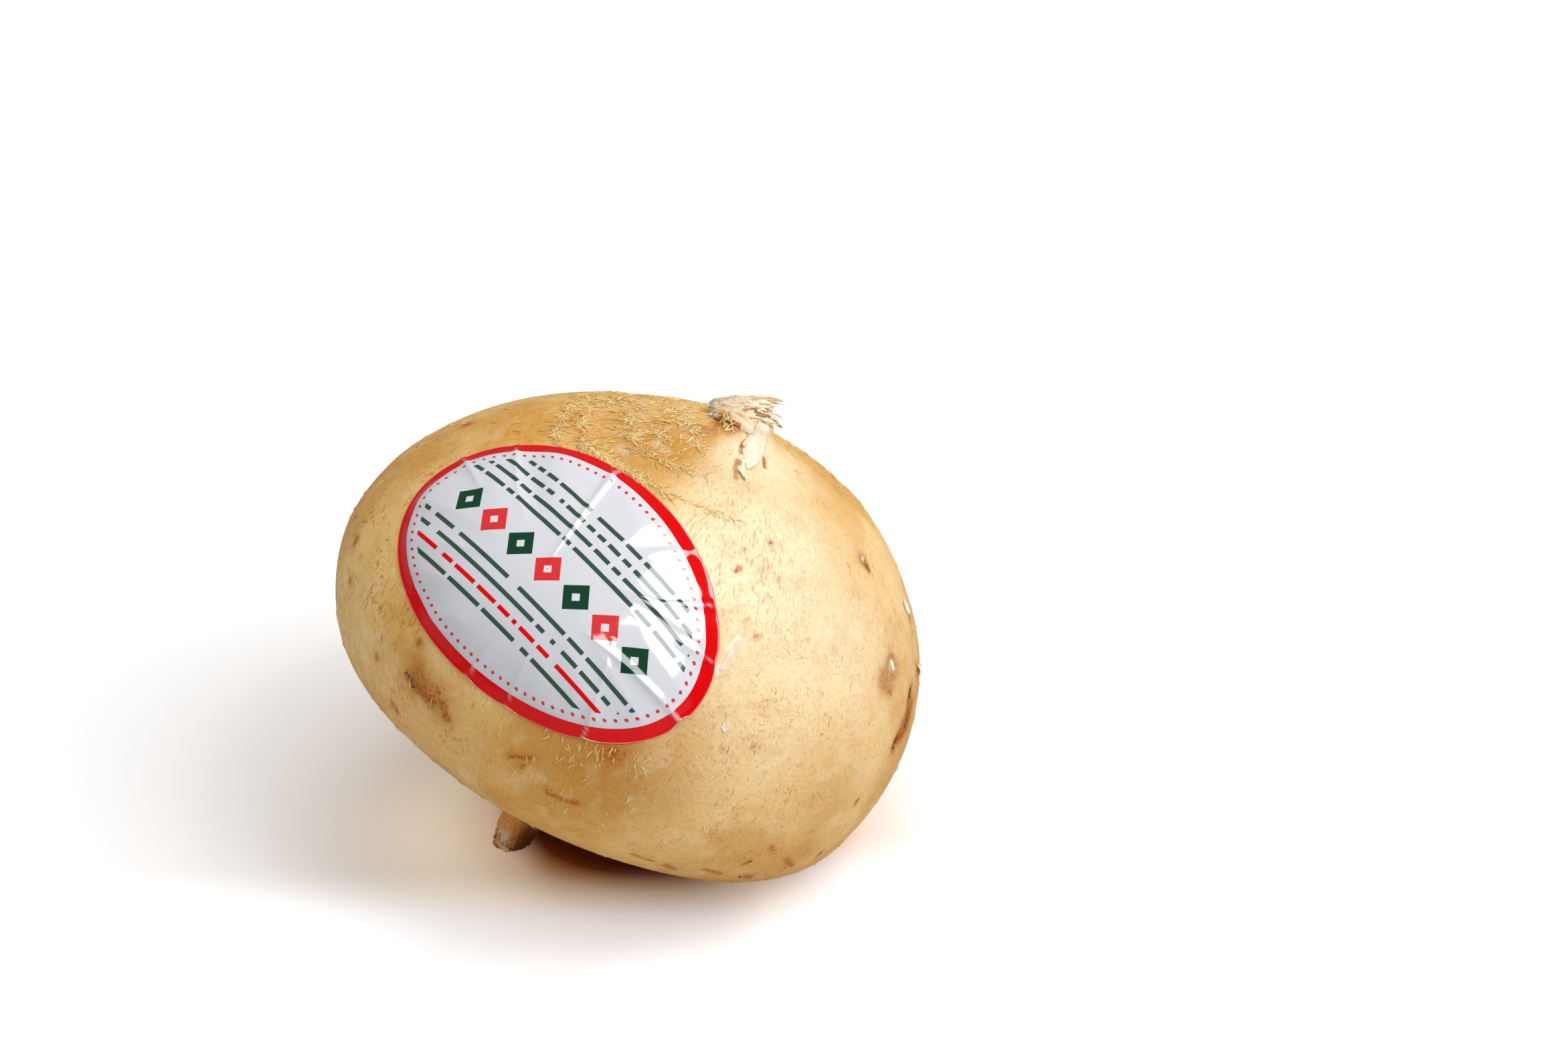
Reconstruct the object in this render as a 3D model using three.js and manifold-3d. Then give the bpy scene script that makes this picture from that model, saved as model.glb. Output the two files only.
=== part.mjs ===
// A jicama root lying as it settles on a table: leaning over on its belly and on the stub of its tail.
// One solid root, and the oval sticker that wraps its front shoulder.
// Millimetres, +Z up. The origin is on the table, under the middle of the root's box.
import * as THREE from 'three';
import { mergeVertices } from 'three/addons/utils/BufferGeometryUtils.js';
import Module from 'manifold-3d';

// How the root leans on the table: its own axis runs from the tail to the crown.
const leanRight = THREE.MathUtils.degToRad(20.4);
const leanBack = THREE.MathUtils.degToRad(13.75);
const bellyFlat = 1.0; // how deep the resting spot is pressed into the round of the belly

// The root from tail to crown, in its own frame. Each station is a round section:
// its height from the middle of the body, its radius, and how far its centre lies to the side and back.
const stations = [
  { height: -56, radius: 3.5, side: -12.5, back: 2.0 }, // broken tip of the tail
  { height: -52, radius: 3.9, side: -12.6, back: 2.8 },
  { height: -48, radius: 4.1, side: -12.3, back: 3.3 },
  { height: -44.5, radius: 4.7, side: -11.5, back: 3.4 }, // tail flares into the body
  { height: -42, radius: 6.5, side: -10.3, back: 3.0 },
  { height: -39.5, radius: 11.8, side: -7.0, back: 2.0 },
  { height: -36, radius: 25.0, side: 0.6, back: 0.2 },
  { height: -31.2, radius: 43.6, side: 0.1, back: -1.0 },
  { height: -21.5, radius: 54.4, side: -4.3, back: -0.8 },
  { height: -6, radius: 58.7, side: -5.9, back: -0.2 }, // widest girth
  { height: 9, radius: 55.6, side: -5.9, back: 0 },
  { height: 22, radius: 46.9, side: -4.8, back: 0 },
  { height: 32.5, radius: 34.6, side: -3.1, back: 0 },
  { height: 39, radius: 20.6, side: -1.9, back: 0 }, // shoulder of the crown
  { height: 42.2, radius: 10.6, side: -1.2, back: 0 },
  { height: 44, radius: 6.6, side: -0.3, back: 0 }, // neck of the old stem
  { height: 45.8, radius: 5.8, side: -0.2, back: 0 },
  { height: 46.8, radius: 4.4, side: -0.2, back: 0 },
];
const endDome = 0.5; // how far each end stands out past its last station
const tailStations = 6; // the thin ones, from the tip up to the body
const rowsPerStation = 3;
const columns = 48;

// Growth unevenness of the body, which dies out towards the tail and the neck
const lobes = { count: 3, depth: 0.6 };
const furrow = { azimuth: THREE.MathUtils.degToRad(118), width: 0.2, depth: 1.6 };
const bodyTop = 40;
const bodyBottom = -38;

// The sticker: a 3 by 2 inch oval of film, laid on the front of the root
const sticker = {
  length: 76.4,
  width: 50.8,
  thickness: 0.4,
  gap: 0.35, // clear of the root's flat facets
  height: 18.8, // where its middle sits, along the root's axis
  axisSide: -5, // where the body's middle lies at that height
  azimuth: THREE.MathUtils.degToRad(241.8),
  turn: THREE.MathUtils.degToRad(-14.7), // of its long axis, from level round the root
  bend: 56, // radius that the film bends to over the root
  rings: 7,
  spokes: 40,
};

const wasm = await Module();
wasm.setup();

function smooth(low, high, value) {
  return THREE.MathUtils.smoothstep(value, low, high);
}

// How far the skin stands proud of the plain round section
function relief(height, azimuth) {
  const body = smooth(bodyBottom, bodyBottom + 14, height) * (1 - smooth(bodyTop - 16, bodyTop, height));
  const lobe = lobes.depth * Math.sin(lobes.count * azimuth) * body;
  const across = Math.abs(azimuth - furrow.azimuth) / furrow.width;
  const along = smooth(-18, 24, height) * (1 - smooth(34, 43, height));
  return lobe - furrow.depth * Math.exp(-across * across) * along;
}

// Closed mesh from rows of points, with a point at each end
function closedRows(rows, firstPole, lastPole) {
  const points = [firstPole, ...rows.flat(), lastPole];
  const count = rows[0].length;
  const at = (row, column) => 1 + row * count + (column % count);
  const triangles = [];
  for (let column = 0; column < count; column++) {
    triangles.push(0, at(0, column + 1), at(0, column));
    for (let row = 0; row + 1 < rows.length; row++) {
      const corners = [at(row, column), at(row, column + 1), at(row + 1, column + 1), at(row + 1, column)];
      triangles.push(corners[0], corners[1], corners[2], corners[0], corners[2], corners[3]);
    }
    triangles.push(points.length - 1, at(rows.length - 1, column), at(rows.length - 1, column + 1));
  }
  const geometry = new THREE.BufferGeometry().setFromPoints(points);
  geometry.setIndex(triangles);
  return geometry;
}

// The root's round of sections, swept through the stations
function rootSurface() {
  const girth = new THREE.SplineCurve(stations.map((s) => new THREE.Vector2(s.radius, s.height)));
  const spine = new THREE.SplineCurve(stations.map((s) => new THREE.Vector2(s.side, s.back)));
  const steps = (stations.length - 1) * rowsPerStation;
  const rows = [];
  for (let step = 0; step <= steps; step++) {
    const { x: radius, y: height } = girth.getPoint(step / steps);
    const centre = spine.getPoint(step / steps);
    const row = [];
    for (let column = 0; column < columns; column++) {
      const azimuth = (column / columns) * 2 * Math.PI;
      const reach = radius + relief(height, azimuth);
      row.push(new THREE.Vector3(
        centre.x + reach * Math.cos(azimuth),
        centre.y + reach * Math.sin(azimuth),
        height,
      ));
    }
    rows.push(row);
  }
  const tail = stations[0];
  const neck = stations[stations.length - 1];
  return closedRows(
    rows,
    new THREE.Vector3(tail.side, tail.back, tail.height - endDome),
    new THREE.Vector3(neck.side, neck.back, neck.height + endDome),
  );
}

function toManifold(geometry) {
  const plain = geometry.clone();
  plain.deleteAttribute('normal');
  plain.deleteAttribute('uv');
  const merged = mergeVertices(plain, 1e-4);
  return new wasm.Manifold(new wasm.Mesh({
    numProp: 3,
    vertProperties: new Float32Array(merged.getAttribute('position').array),
    triVerts: new Uint32Array(merged.getIndex().array),
  }));
}

function toGeometry(manifold) {
  const mesh = manifold.getMesh();
  const geometry = new THREE.BufferGeometry();
  geometry.setAttribute('position', new THREE.BufferAttribute(mesh.vertProperties, 3));
  geometry.setIndex(new THREE.BufferAttribute(mesh.triVerts, 1));
  geometry.computeVertexNormals();
  return geometry;
}

// Height of the lowest point of the belly, leaving the thin tail out
function bellyLevel(geometry) {
  const position = geometry.getAttribute('position');
  const bellyStart = 1 + columns * rowsPerStation * tailStations;
  let lowest = Infinity;
  for (let i = bellyStart; i < position.count; i++) lowest = Math.min(lowest, position.getZ(i));
  return lowest;
}

// The root on the table, its belly and tail tip cut off flat where they rest
function restingRoot(surface) {
  const size = 200; // larger than the root all round
  const below = new THREE.BoxGeometry(size, size, size).translate(0, 0, -size / 2);
  return toGeometry(toManifold(surface).subtract(toManifold(below)));
}

// The sticker's film: an oval of points pushed out from the bend centre onto the root's skin
function stickerShell(surface, pose) {
  const skin = new THREE.Mesh(surface, new THREE.MeshBasicMaterial({ side: THREE.DoubleSide }));
  const caster = new THREE.Raycaster();
  const axis = new THREE.Vector3(0, 0, 1).transformDirection(pose);
  const outward = new THREE.Vector3(Math.cos(sticker.azimuth), Math.sin(sticker.azimuth), 0).transformDirection(pose);
  const start = new THREE.Vector3(sticker.axisSide, 0, sticker.height).applyMatrix4(pose);

  const skinAlong = (origin, direction) => {
    caster.set(origin, direction);
    const hits = caster.intersectObject(skin);
    return hits[hits.length - 1];
  };
  const middle = skinAlong(start, outward);
  const normal = middle.face.normal.clone();
  const level = new THREE.Vector3().crossVectors(axis, normal).normalize();
  const lengthwise = level.clone().applyAxisAngle(normal, sticker.turn);
  const crosswise = new THREE.Vector3().crossVectors(normal, lengthwise);
  const bendCentre = middle.point.clone().addScaledVector(normal, -sticker.bend);

  const onSkin = (along, across, lift) => {
    const distance = Math.hypot(along, across);
    const angle = distance / sticker.bend;
    const direction = normal.clone().multiplyScalar(Math.cos(angle));
    if (distance > 0) {
      direction.addScaledVector(lengthwise, Math.sin(angle) * along / distance);
      direction.addScaledVector(crosswise, Math.sin(angle) * across / distance);
    }
    return skinAlong(bendCentre, direction).point.addScaledVector(direction, lift);
  };
  const ovalRow = (share, lift) => Array.from({ length: sticker.spokes }, (_, spoke) => {
    const angle = (spoke / sticker.spokes) * 2 * Math.PI;
    const along = share * sticker.length / 2 * Math.cos(angle);
    const across = share * sticker.width / 2 * Math.sin(angle);
    return onSkin(along, across, lift);
  });
  const shares = Array.from({ length: sticker.rings }, (_, ring) => (ring + 1) / sticker.rings);
  const top = sticker.gap + sticker.thickness;
  const rows = [
    ...shares.map((share) => ovalRow(share, sticker.gap)),
    ...shares.reverse().map((share) => ovalRow(share, top)),
  ];
  return closedRows(rows, onSkin(0, 0, sticker.gap), onSkin(0, 0, top));
}

const pose = new THREE.Matrix4().makeRotationFromEuler(new THREE.Euler(-leanBack, leanRight, 0));
const surface = rootSurface().applyMatrix4(pose);
const lift = new THREE.Matrix4().makeTranslation(0, 0, -bellyLevel(surface) - bellyFlat);
surface.applyMatrix4(lift);
surface.computeVertexNormals();
pose.premultiply(lift);

const jicamaRoot = new THREE.Mesh(
  restingRoot(surface),
  new THREE.MeshStandardMaterial({ color: 0xdcb67a, roughness: 0.75, metalness: 0 }),
);
jicamaRoot.name = 'jicama_root';

const ovalSticker = new THREE.Mesh(
  stickerShell(surface, pose),
  new THREE.MeshStandardMaterial({ color: 0xe9e8ea, roughness: 0.25, metalness: 0 }),
);
ovalSticker.name = 'oval_sticker';
ovalSticker.geometry.computeVertexNormals();

const resting = new THREE.Group();
resting.add(jicamaRoot, ovalSticker);
const middle = new THREE.Box3().setFromObject(resting).getCenter(new THREE.Vector3());
resting.position.set(-middle.x, -middle.y, 0);

const jicama = new THREE.Group();
jicama.add(resting);

export default jicama;
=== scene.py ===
import math

import bpy
import numpy as np
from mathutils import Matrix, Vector
from mathutils.bvhtree import BVHTree


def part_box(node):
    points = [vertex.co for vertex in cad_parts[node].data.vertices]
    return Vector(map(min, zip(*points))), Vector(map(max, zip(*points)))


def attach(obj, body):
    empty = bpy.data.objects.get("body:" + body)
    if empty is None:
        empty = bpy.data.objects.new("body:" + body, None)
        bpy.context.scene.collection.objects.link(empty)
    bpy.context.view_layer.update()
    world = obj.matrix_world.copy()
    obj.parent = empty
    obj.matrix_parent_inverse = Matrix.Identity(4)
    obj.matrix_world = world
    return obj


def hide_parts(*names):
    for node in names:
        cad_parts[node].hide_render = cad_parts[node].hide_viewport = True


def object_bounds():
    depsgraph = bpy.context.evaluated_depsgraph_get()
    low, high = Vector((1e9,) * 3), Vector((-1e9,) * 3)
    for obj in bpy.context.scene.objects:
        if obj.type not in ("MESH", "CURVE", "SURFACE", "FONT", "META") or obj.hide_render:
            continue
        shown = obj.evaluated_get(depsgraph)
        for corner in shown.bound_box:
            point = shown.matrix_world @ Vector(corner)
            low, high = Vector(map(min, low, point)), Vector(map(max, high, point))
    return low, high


# A jicama root lying on its belly: papery skin with dry fibres, a frayed stem end, a stub of tap root and an
# oval sticker. Shapes are worked out in millimetres and turned to metres where each mesh is made.
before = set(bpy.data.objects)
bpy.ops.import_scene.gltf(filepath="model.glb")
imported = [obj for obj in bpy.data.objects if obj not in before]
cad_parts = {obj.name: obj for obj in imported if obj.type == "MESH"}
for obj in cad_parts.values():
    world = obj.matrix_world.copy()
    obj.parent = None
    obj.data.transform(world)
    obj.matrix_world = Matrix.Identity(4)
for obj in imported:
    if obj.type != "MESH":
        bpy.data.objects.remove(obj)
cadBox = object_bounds()
mm = 0.001
fullTurn = 2 * math.pi
lowestPlace = 0.03  # how close to the floor the fibres and flakes may come
chance = np.random.default_rng(12)


def toLinear(hexColour):
    parts = [int(hexColour[i:i + 2], 16) / 255 for i in (1, 3, 5)]
    return [p / 12.92 if p <= 0.04045 else ((p + 0.055) / 1.055) ** 2.4 for p in parts] + [1.0]


def smooth(low, high, value):
    share = np.clip((value - low) / (high - low), 0, 1)
    return share * share * (3 - 2 * share)


def band(rise, fall, value):
    # comes in over one run of values and goes out over another
    return smooth(*rise, value) * (1 - smooth(*fall, value))


def unit(vectors):
    return vectors / np.maximum(np.linalg.norm(vectors, axis=-1, keepdims=True), 1e-9)


def gathered(*parts):
    # arrays of matching shapes, side by side along a new last axis
    return np.stack(np.broadcast_arrays(*parts), axis=-1)


# large numbers that turn the place of a noise cell into its value; others would give another pattern
cellMix = (73856, 19349, 83492)
seedMix = 2654
mixRounds = ((7, 12741), (11, 26699))


def lumps(points, size, seed):
    # smooth noise from about -1 to 1, with lumps of that size
    places = points / size + 0.37 * seed
    cells = np.floor(places).astype(np.int64)
    inside = places - cells
    inside = inside * inside * (3 - 2 * inside)
    total = np.zeros(points.shape[:-1])
    for corner in np.ndindex(2, 2, 2):
        cell = (cells + corner) & 0xffff
        mixed = np.bitwise_xor.reduce(cell * cellMix, axis=-1) ^ seed * seedMix
        for shift, factor in mixRounds:
            mixed = (mixed ^ (mixed >> shift)) * factor & 0xffffffff
        value = (mixed >> 9 & 0xffff) / 32767.5 - 1
        total += np.prod(np.where(corner, inside, 1 - inside), axis=-1) * value
    return total


def lineDistance(points, line):
    # how far each point is from a line through the given places, and how far along it the nearest place lies
    line = np.asarray(line, float)
    nearest = np.full(points.shape[:-1], 1e9)
    share = np.zeros(points.shape[:-1])
    if len(line) == 1:
        return np.linalg.norm(points - line[0], axis=-1), share
    for k in range(len(line) - 1):
        leg = line[k + 1] - line[k]
        t = np.clip((points - line[k]) @ leg / (leg @ leg), 0, 1)
        gap = np.linalg.norm(points - line[k] - t[..., None] * leg, axis=-1)
        share = np.where(gap < nearest, (k + t) / (len(line) - 1), share)
        nearest = np.minimum(nearest, gap)
    return nearest, share


def fillInputs(tree, node, inputs):
    # an input takes a plain value, a socket, or another node's first live output
    for name, value in inputs.items():
        if isinstance(value, bpy.types.Node):
            value = next(s for s in value.outputs if s.enabled)
        if isinstance(value, bpy.types.NodeSocket):
            tree.links.new(value, node.inputs[name])
        else:
            node.inputs[name].default_value = value


def addNode(tree, kind, inputs=None, stops=None, **settings):
    node = tree.nodes.new("ShaderNode" + kind)
    for name, value in settings.items():
        setattr(node, name, value)
    fillInputs(tree, node, inputs or {})
    if stops:
        while len(node.color_ramp.elements) < len(stops):
            node.color_ramp.elements.new(0.5)
        for element, (place, colour) in zip(node.color_ramp.elements, stops):
            element.position = place
            element.color = toLinear(colour)
    return node


def calc(tree, operation, *values):
    return addNode(tree, "Math", dict(enumerate(values)), operation=operation)


def ramp(tree, value, low, high, top=1.0, bottom=0.0, kind="SMOOTHSTEP"):
    # goes from bottom to top as the value goes from low to high
    return addNode(tree, "MapRange", {0: value, 1: low, 2: high, 3: bottom, 4: top}, interpolation_type=kind)


def scaled(tree, vector, factors):
    return addNode(tree, "VectorMath", {0: vector, 1: factors}, operation="MULTIPLY").outputs[0]


def placesInMm(tree):
    return scaled(tree, addNode(tree, "TexCoord").outputs["Object"], [1 / mm] * 3)


def carried(tree, name, output="Vector"):
    # a value that each point of the mesh carries
    return addNode(tree, "Attribute", attribute_name=name).outputs[output]


def newMaterial(name):
    material = bpy.data.materials.new(name)
    material.use_nodes = True
    tree = material.node_tree
    tree.nodes.clear()
    surface = addNode(tree, "BsdfPrincipled")
    addNode(tree, "OutputMaterial", {"Surface": surface.outputs[0]})
    return material, tree, surface


def layered(tree, base, layers, masks=None):
    # each layer lays a colour over the last, as strongly as its amount times its masks, whole or by name
    for colour, share, *names in layers:
        for name in names:
            share = calc(tree, "MULTIPLY", share, masks[name] if isinstance(name, str) else name)
        base = addNode(tree, "Mix", {"Factor": share, 6: base, 7: toLinear(colour)}, data_type="RGBA")
    return base


def addBump(tree, surface, heights, masks, strength=1.0):
    # the sum of several masks, each times its height in millimetres
    total = 0.0
    for rise, name in heights:
        total = calc(tree, "MULTIPLY_ADD", masks[name], rise, total)
    bump = addNode(tree, "Bump", {"Height": total, "Distance": mm, "Strength": strength})
    fillInputs(tree, surface, {"Normal": bump})


def grainMasks(tree, places, grains):
    # noise stretched to a grain's size in millimetres, cut to a mask between two levels
    masks = {}
    for name, (place, size, detail, low, high) in grains.items():
        shrunk = scaled(tree, places[place], [1 / s for s in np.broadcast_to(size, 3)])
        noise = addNode(tree, "TexNoise", {"Vector": shrunk, "Scale": 1.0, "Detail": detail})
        masks[name] = ramp(tree, noise.outputs[0], low, high)
    return masks


def shown(name, data):
    thing = bpy.data.objects.new(name, data)
    bpy.context.scene.collection.objects.link(thing)
    return thing


def makePiece(name, points, faces, material, attributes=None):
    mesh = bpy.data.meshes.new(name)
    mesh.from_pydata((np.asarray(points) * mm).tolist(), [], faces)
    mesh.shade_smooth()
    for key, values in (attributes or {}).items():
        values = np.asarray(values, np.float32)
        if values.ndim == 1:
            mesh.attributes.new(key, "FLOAT", "POINT").data.foreach_set("value", values)
        else:
            mesh.attributes.new(key, "FLOAT_VECTOR", "POINT").data.foreach_set("vector", values.ravel())
    mesh.materials.append(material)
    piece = shown(name, mesh)
    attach(piece, "root")
    print(f"{name}: {sum(len(f) - 2 for f in faces)} triangles")
    return piece


# the root's shape in its own frame: side, back and height
root = {
    "leanRight": 20.4,  # degrees its axis leans over as it lies
    "leanBack": 13.75,
    # height, radius, side, back of each round section, from the tail's tip to the neck
    "stations": [
        (-56, 3.5, -12.5, 2.0), (-52, 3.9, -12.6, 2.8), (-48, 4.1, -12.3, 3.3),
        (-44.5, 4.7, -11.5, 3.4), (-42, 6.5, -10.3, 3.0), (-39.5, 11.8, -7.0, 2.0),
        (-36, 25.0, 0.6, 0.2), (-31.2, 43.6, 0.1, -1.0), (-21.5, 54.4, -4.3, -0.8),
        (-6, 58.7, -5.9, -0.2), (9, 55.6, -5.9, 0), (22, 46.9, -4.8, 0),
        (32.5, 34.6, -3.1, 0), (39, 20.6, -1.9, 0), (42.2, 10.6, -1.2, 0),
        (44, 6.6, -0.3, 0), (45.8, 5.8, -0.2, 0), (46.8, 4.4, -0.2, 0),
    ],
    "curveSteps": 6000,
    "endDome": 0.5,
    "domeSteps": 300,
    "tipRadius": 0.05,
    "lobeCount": 3,
    "lobeDepth": 0.6,
    "lobeFade": ((-38, -24), (24, 40)),  # heights over which the lobes come in and go out
    "furrowAt": 118,  # degrees round the axis
    "furrowWidth": 0.2,
    "furrowDepth": 1.6,
    "furrowFade": ((-18, 24), (34, 43)),
    "columns": 324,
    "leastGirth": 2,  # radius below which the columns no longer count as closer
    "bodyStep": 0.74,  # between rows
    "endStep": 0.36,  # on the tail and round the neck, where the skin is finer
    "tailStepFade": (14, 24),  # distances from the tail's tip, then from the neck
    "neckStepFade": (20, 34),
}


def sectionsAlong(spec):
    # the same curve through the stations as the solid has, then rows at even steps along the skin
    stations = np.array(spec["stations"], float)
    last = len(stations) - 1
    share = np.linspace(0, last, spec["curveSteps"])
    k = np.minimum(share.astype(int), last - 1)
    t = (share - k)[:, None]
    before = stations[np.maximum(k - 1, 0)]
    here = stations[k]
    after = stations[k + 1]
    beyond = stations[np.minimum(k + 2, last)]
    slopeIn = (after - before) / 2
    slopeOut = (beyond - here) / 2
    curve = ((2 * here - 2 * after + slopeIn + slopeOut) * t ** 3
             + (-3 * here + 3 * after - 2 * slopeIn - slopeOut) * t ** 2 + slopeIn * t + here)
    dome = np.sin(np.linspace(0, math.pi / 2, spec["domeSteps"]))[1:, None]

    def domed(end, rise):
        cap = end + dome * [rise, 0, 0, 0]
        cap[:, 1] = end[1] * np.sqrt(1 - dome[:, 0] ** 2) + spec["tipRadius"]
        return cap

    low = domed(curve[0], -spec["endDome"])
    high = domed(curve[-1], spec["endDome"])
    curve = np.concatenate([low[::-1], curve, high])
    along = np.concatenate([[0], np.cumsum(np.hypot(np.diff(curve[:, 0]), np.diff(curve[:, 1])))])
    coarse = smooth(*spec["tailStepFade"], along) * smooth(*spec["neckStepFade"], along[-1] - along)
    step = spec["endStep"] + (spec["bodyStep"] - spec["endStep"]) * coarse
    count = np.concatenate([[0], np.cumsum(np.diff(along) / step[1:])])
    rows = np.interp(np.linspace(0, count[-1], int(count[-1]) + 1), count, along)
    return np.stack([np.interp(rows, along, curve[:, i]) for i in range(4)] + [rows], axis=-1)


sections = sectionsAlong(root)
height, radius, fromTail = sections[:, 0:1], sections[:, 1:2], sections[:, 4:5]
fromNeck = fromTail[-1] - fromTail
azimuth = np.linspace(0, fullTurn, root["columns"], endpoint=False)[None, :]
bearing = np.degrees(azimuth)


def reliefOf(spec):
    lobes = np.sin(spec["lobeCount"] * azimuth) * band(*spec["lobeFade"], height)
    across = np.abs(azimuth - math.radians(spec["furrowAt"])) / spec["furrowWidth"]
    furrow = np.exp(-across ** 2) * band(*spec["furrowFade"], height)
    return spec["lobeDepth"] * lobes - spec["furrowDepth"] * furrow


back = math.radians(-root["leanBack"])
right = math.radians(root["leanRight"])
turnBack = np.array([
    [1, 0, 0], [0, math.cos(back), -math.sin(back)], [0, math.sin(back), math.cos(back)]])
turnRight = np.array([
    [math.cos(right), 0, math.sin(right)], [0, 1, 0], [-math.sin(right), 0, math.cos(right)]])
sideways, backward, upward = (turnBack @ turnRight).T

reach = radius + reliefOf(root)
skin = ((sections[:, 2:3] + reach * np.cos(azimuth))[..., None] * sideways
        + (sections[:, 3:4] + reach * np.sin(azimuth))[..., None] * backward
        + (height + 0 * azimuth)[..., None] * upward)
boxLow, boxHigh = (np.array(corner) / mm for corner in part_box("jicama_root"))
rootOrigin = np.array([
    (boxLow[0] + boxHigh[0] - skin[..., 0].min() - skin[..., 0].max()) / 2,
    (boxLow[1] + boxHigh[1] - skin[..., 1].min() - skin[..., 1].max()) / 2,
    boxHigh[2] - skin[..., 2].max(),
])
skin = skin + rootOrigin


def outwardOf(points):
    along = np.gradient(points, axis=0)
    around = np.roll(points, -1, 1) - np.roll(points, 1, 1)
    return unit(np.cross(around, along))


def gridFaces(rows, columns, first=0):
    # the faces of a grid that closes on itself sideways
    row, column = np.mgrid[0:rows - 1, 0:columns]
    a = first + row * columns + column
    b = first + row * columns + (column + 1) % columns
    return np.stack([a, b, b + columns, a + columns], axis=-1).reshape(-1, 4).tolist()


def cappedGrid(rows, columns):
    caps = [list(range(columns))[::-1], [(rows - 1) * columns + i for i in range(columns)]]
    return gridFaces(rows, columns) + caps


outward = outwardOf(skin)
print("root shape:", skin.shape[0], "rows of", skin.shape[1])

# the sticker is the same oval as the solid one, on the same spot
sticker = {
    "length": 76.4,
    "width": 50.8,
    "height": 18.8,  # of its middle, along the root's axis
    "azimuth": 241.8,
    "turn": -14.7,
    "bend": 56,
    "axisSide": -5,
    "lift": 0.16,  # of its underside, clear of the skin
    "thickness": 0.12,
    "waveHeight": 0.16,  # slack between the creases
    "waveSize": 9,
    "pleatHeight": 0.95,  # of the facets that fan out between the creases
    "pleatSize": 0.55,
    "pleatFade": ((0.2, 0.8), (0.86, 1)),  # shares of the way from the middle to the edge
    "creaseWidth": 0.6,
    "creaseGain": 1.2,
    "creaseFade": 0.6,
    "edgePull": 0.014,  # how far a crease draws the edge in, as a share
    "pullWidth": 1.6,
    "pullGain": 1.6,
    "rings": 110,
    "spokes": 320,
    # creases from the edge inwards: their heights, then places along and across the oval
    "creases": [
        (0.50, [(-37.5, 6.8), (-24, 3.0)]),
        (0.45, [(-30.2, 15.6), (-20, 8.5), (-11, 3.5)]),
        (0.70, [(-8.9, 25.2), (-3.7, 9.5), (-1.0, 1.2)]),
        (0.40, [(14.2, 24.0), (9.5, 14.5)]),
        (0.50, [(24.6, 18.6), (18.8, 10.5), (9, 5.5)]),
        (0.55, [(32.9, 11.6), (25.5, 8.4)]),
        (0.80, [(37.9, -0.2), (24.2, -1.7), (14, -3.4)]),
        (0.55, [(28.6, -17.2), (22.6, -6.6), (18.5, 0)]),
        (0.50, [(13.4, -23.9), (10.2, -13.5)]),
        (0.55, [(3.2, -25.5), (3.8, -13.5)]),
        (0.35, [(-19.8, -21.8), (-13.5, -12.5)]),
    ],
}

cadRoot = BVHTree.FromObject(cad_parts["jicama_root"], bpy.context.evaluated_depsgraph_get())
facing = math.radians(sticker["azimuth"])
start = rootOrigin + sticker["axisSide"] * sideways + sticker["height"] * upward
aim = math.cos(facing) * sideways + math.sin(facing) * backward
stuckAt, stuckNormal, _, _ = cadRoot.ray_cast(Vector(start * mm), Vector(aim))
filmNormal = np.array(stuckNormal)
level = unit(np.cross(upward, filmNormal))
turned = math.radians(sticker["turn"])
filmLong = level * math.cos(turned) + np.cross(filmNormal, level) * math.sin(turned)
filmCross = np.cross(filmNormal, filmLong)
bendCentre = np.array(stuckAt) / mm - filmNormal * sticker["bend"]


def ovalShareOf(points):
    # how far each point lies from the middle of the sticker, as a share of the way to its edge
    direction = unit(points - bendCentre)
    angle = np.arccos(np.clip(direction @ filmNormal, -1, 1))
    flat = unit(np.stack([direction @ filmLong, direction @ filmCross], axis=-1))
    place = flat * (angle * sticker["bend"])[..., None]
    return np.hypot(place[..., 0] / sticker["length"] * 2, place[..., 1] / sticker["width"] * 2)


def between(places, values):
    # the values at fractional places in their list
    return np.interp(places, np.arange(len(values)), values)


def gapsAt(row):
    # how far apart the grid's rows and its columns lie at a fractional row
    columnGap = np.maximum(radius[:, 0], root["leastGirth"]) * fullTurn / root["columns"]
    return between(row, np.gradient(fromTail[:, 0])), between(row, columnGap)


def gridPlace(degrees, heightMm):
    # the fractional row and column of a place on the root
    row = np.interp(heightMm, height[:, 0], np.arange(len(height)))
    return row, np.asarray(degrees) / 360 * root["columns"]


def onSkin(row, column):
    # the point and the outward direction at a fractional row and column
    row = np.clip(row, 0, skin.shape[0] - 1.001)
    column = np.asarray(column) % root["columns"]
    lowRow = row.astype(int)
    lowColumn = column.astype(int) % root["columns"]
    highColumn = (lowColumn + 1) % root["columns"]
    up = (row - lowRow)[..., None]
    aside = (column - np.floor(column))[..., None]
    results = []
    for grid in (skin, outward):
        low, high = (
            grid[r, lowColumn] * (1 - aside) + grid[r, highColumn] * aside for r in (lowRow, lowRow + 1))
        results.append(low * (1 - up) + high * up)
    return results[0], unit(results[1])


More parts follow.
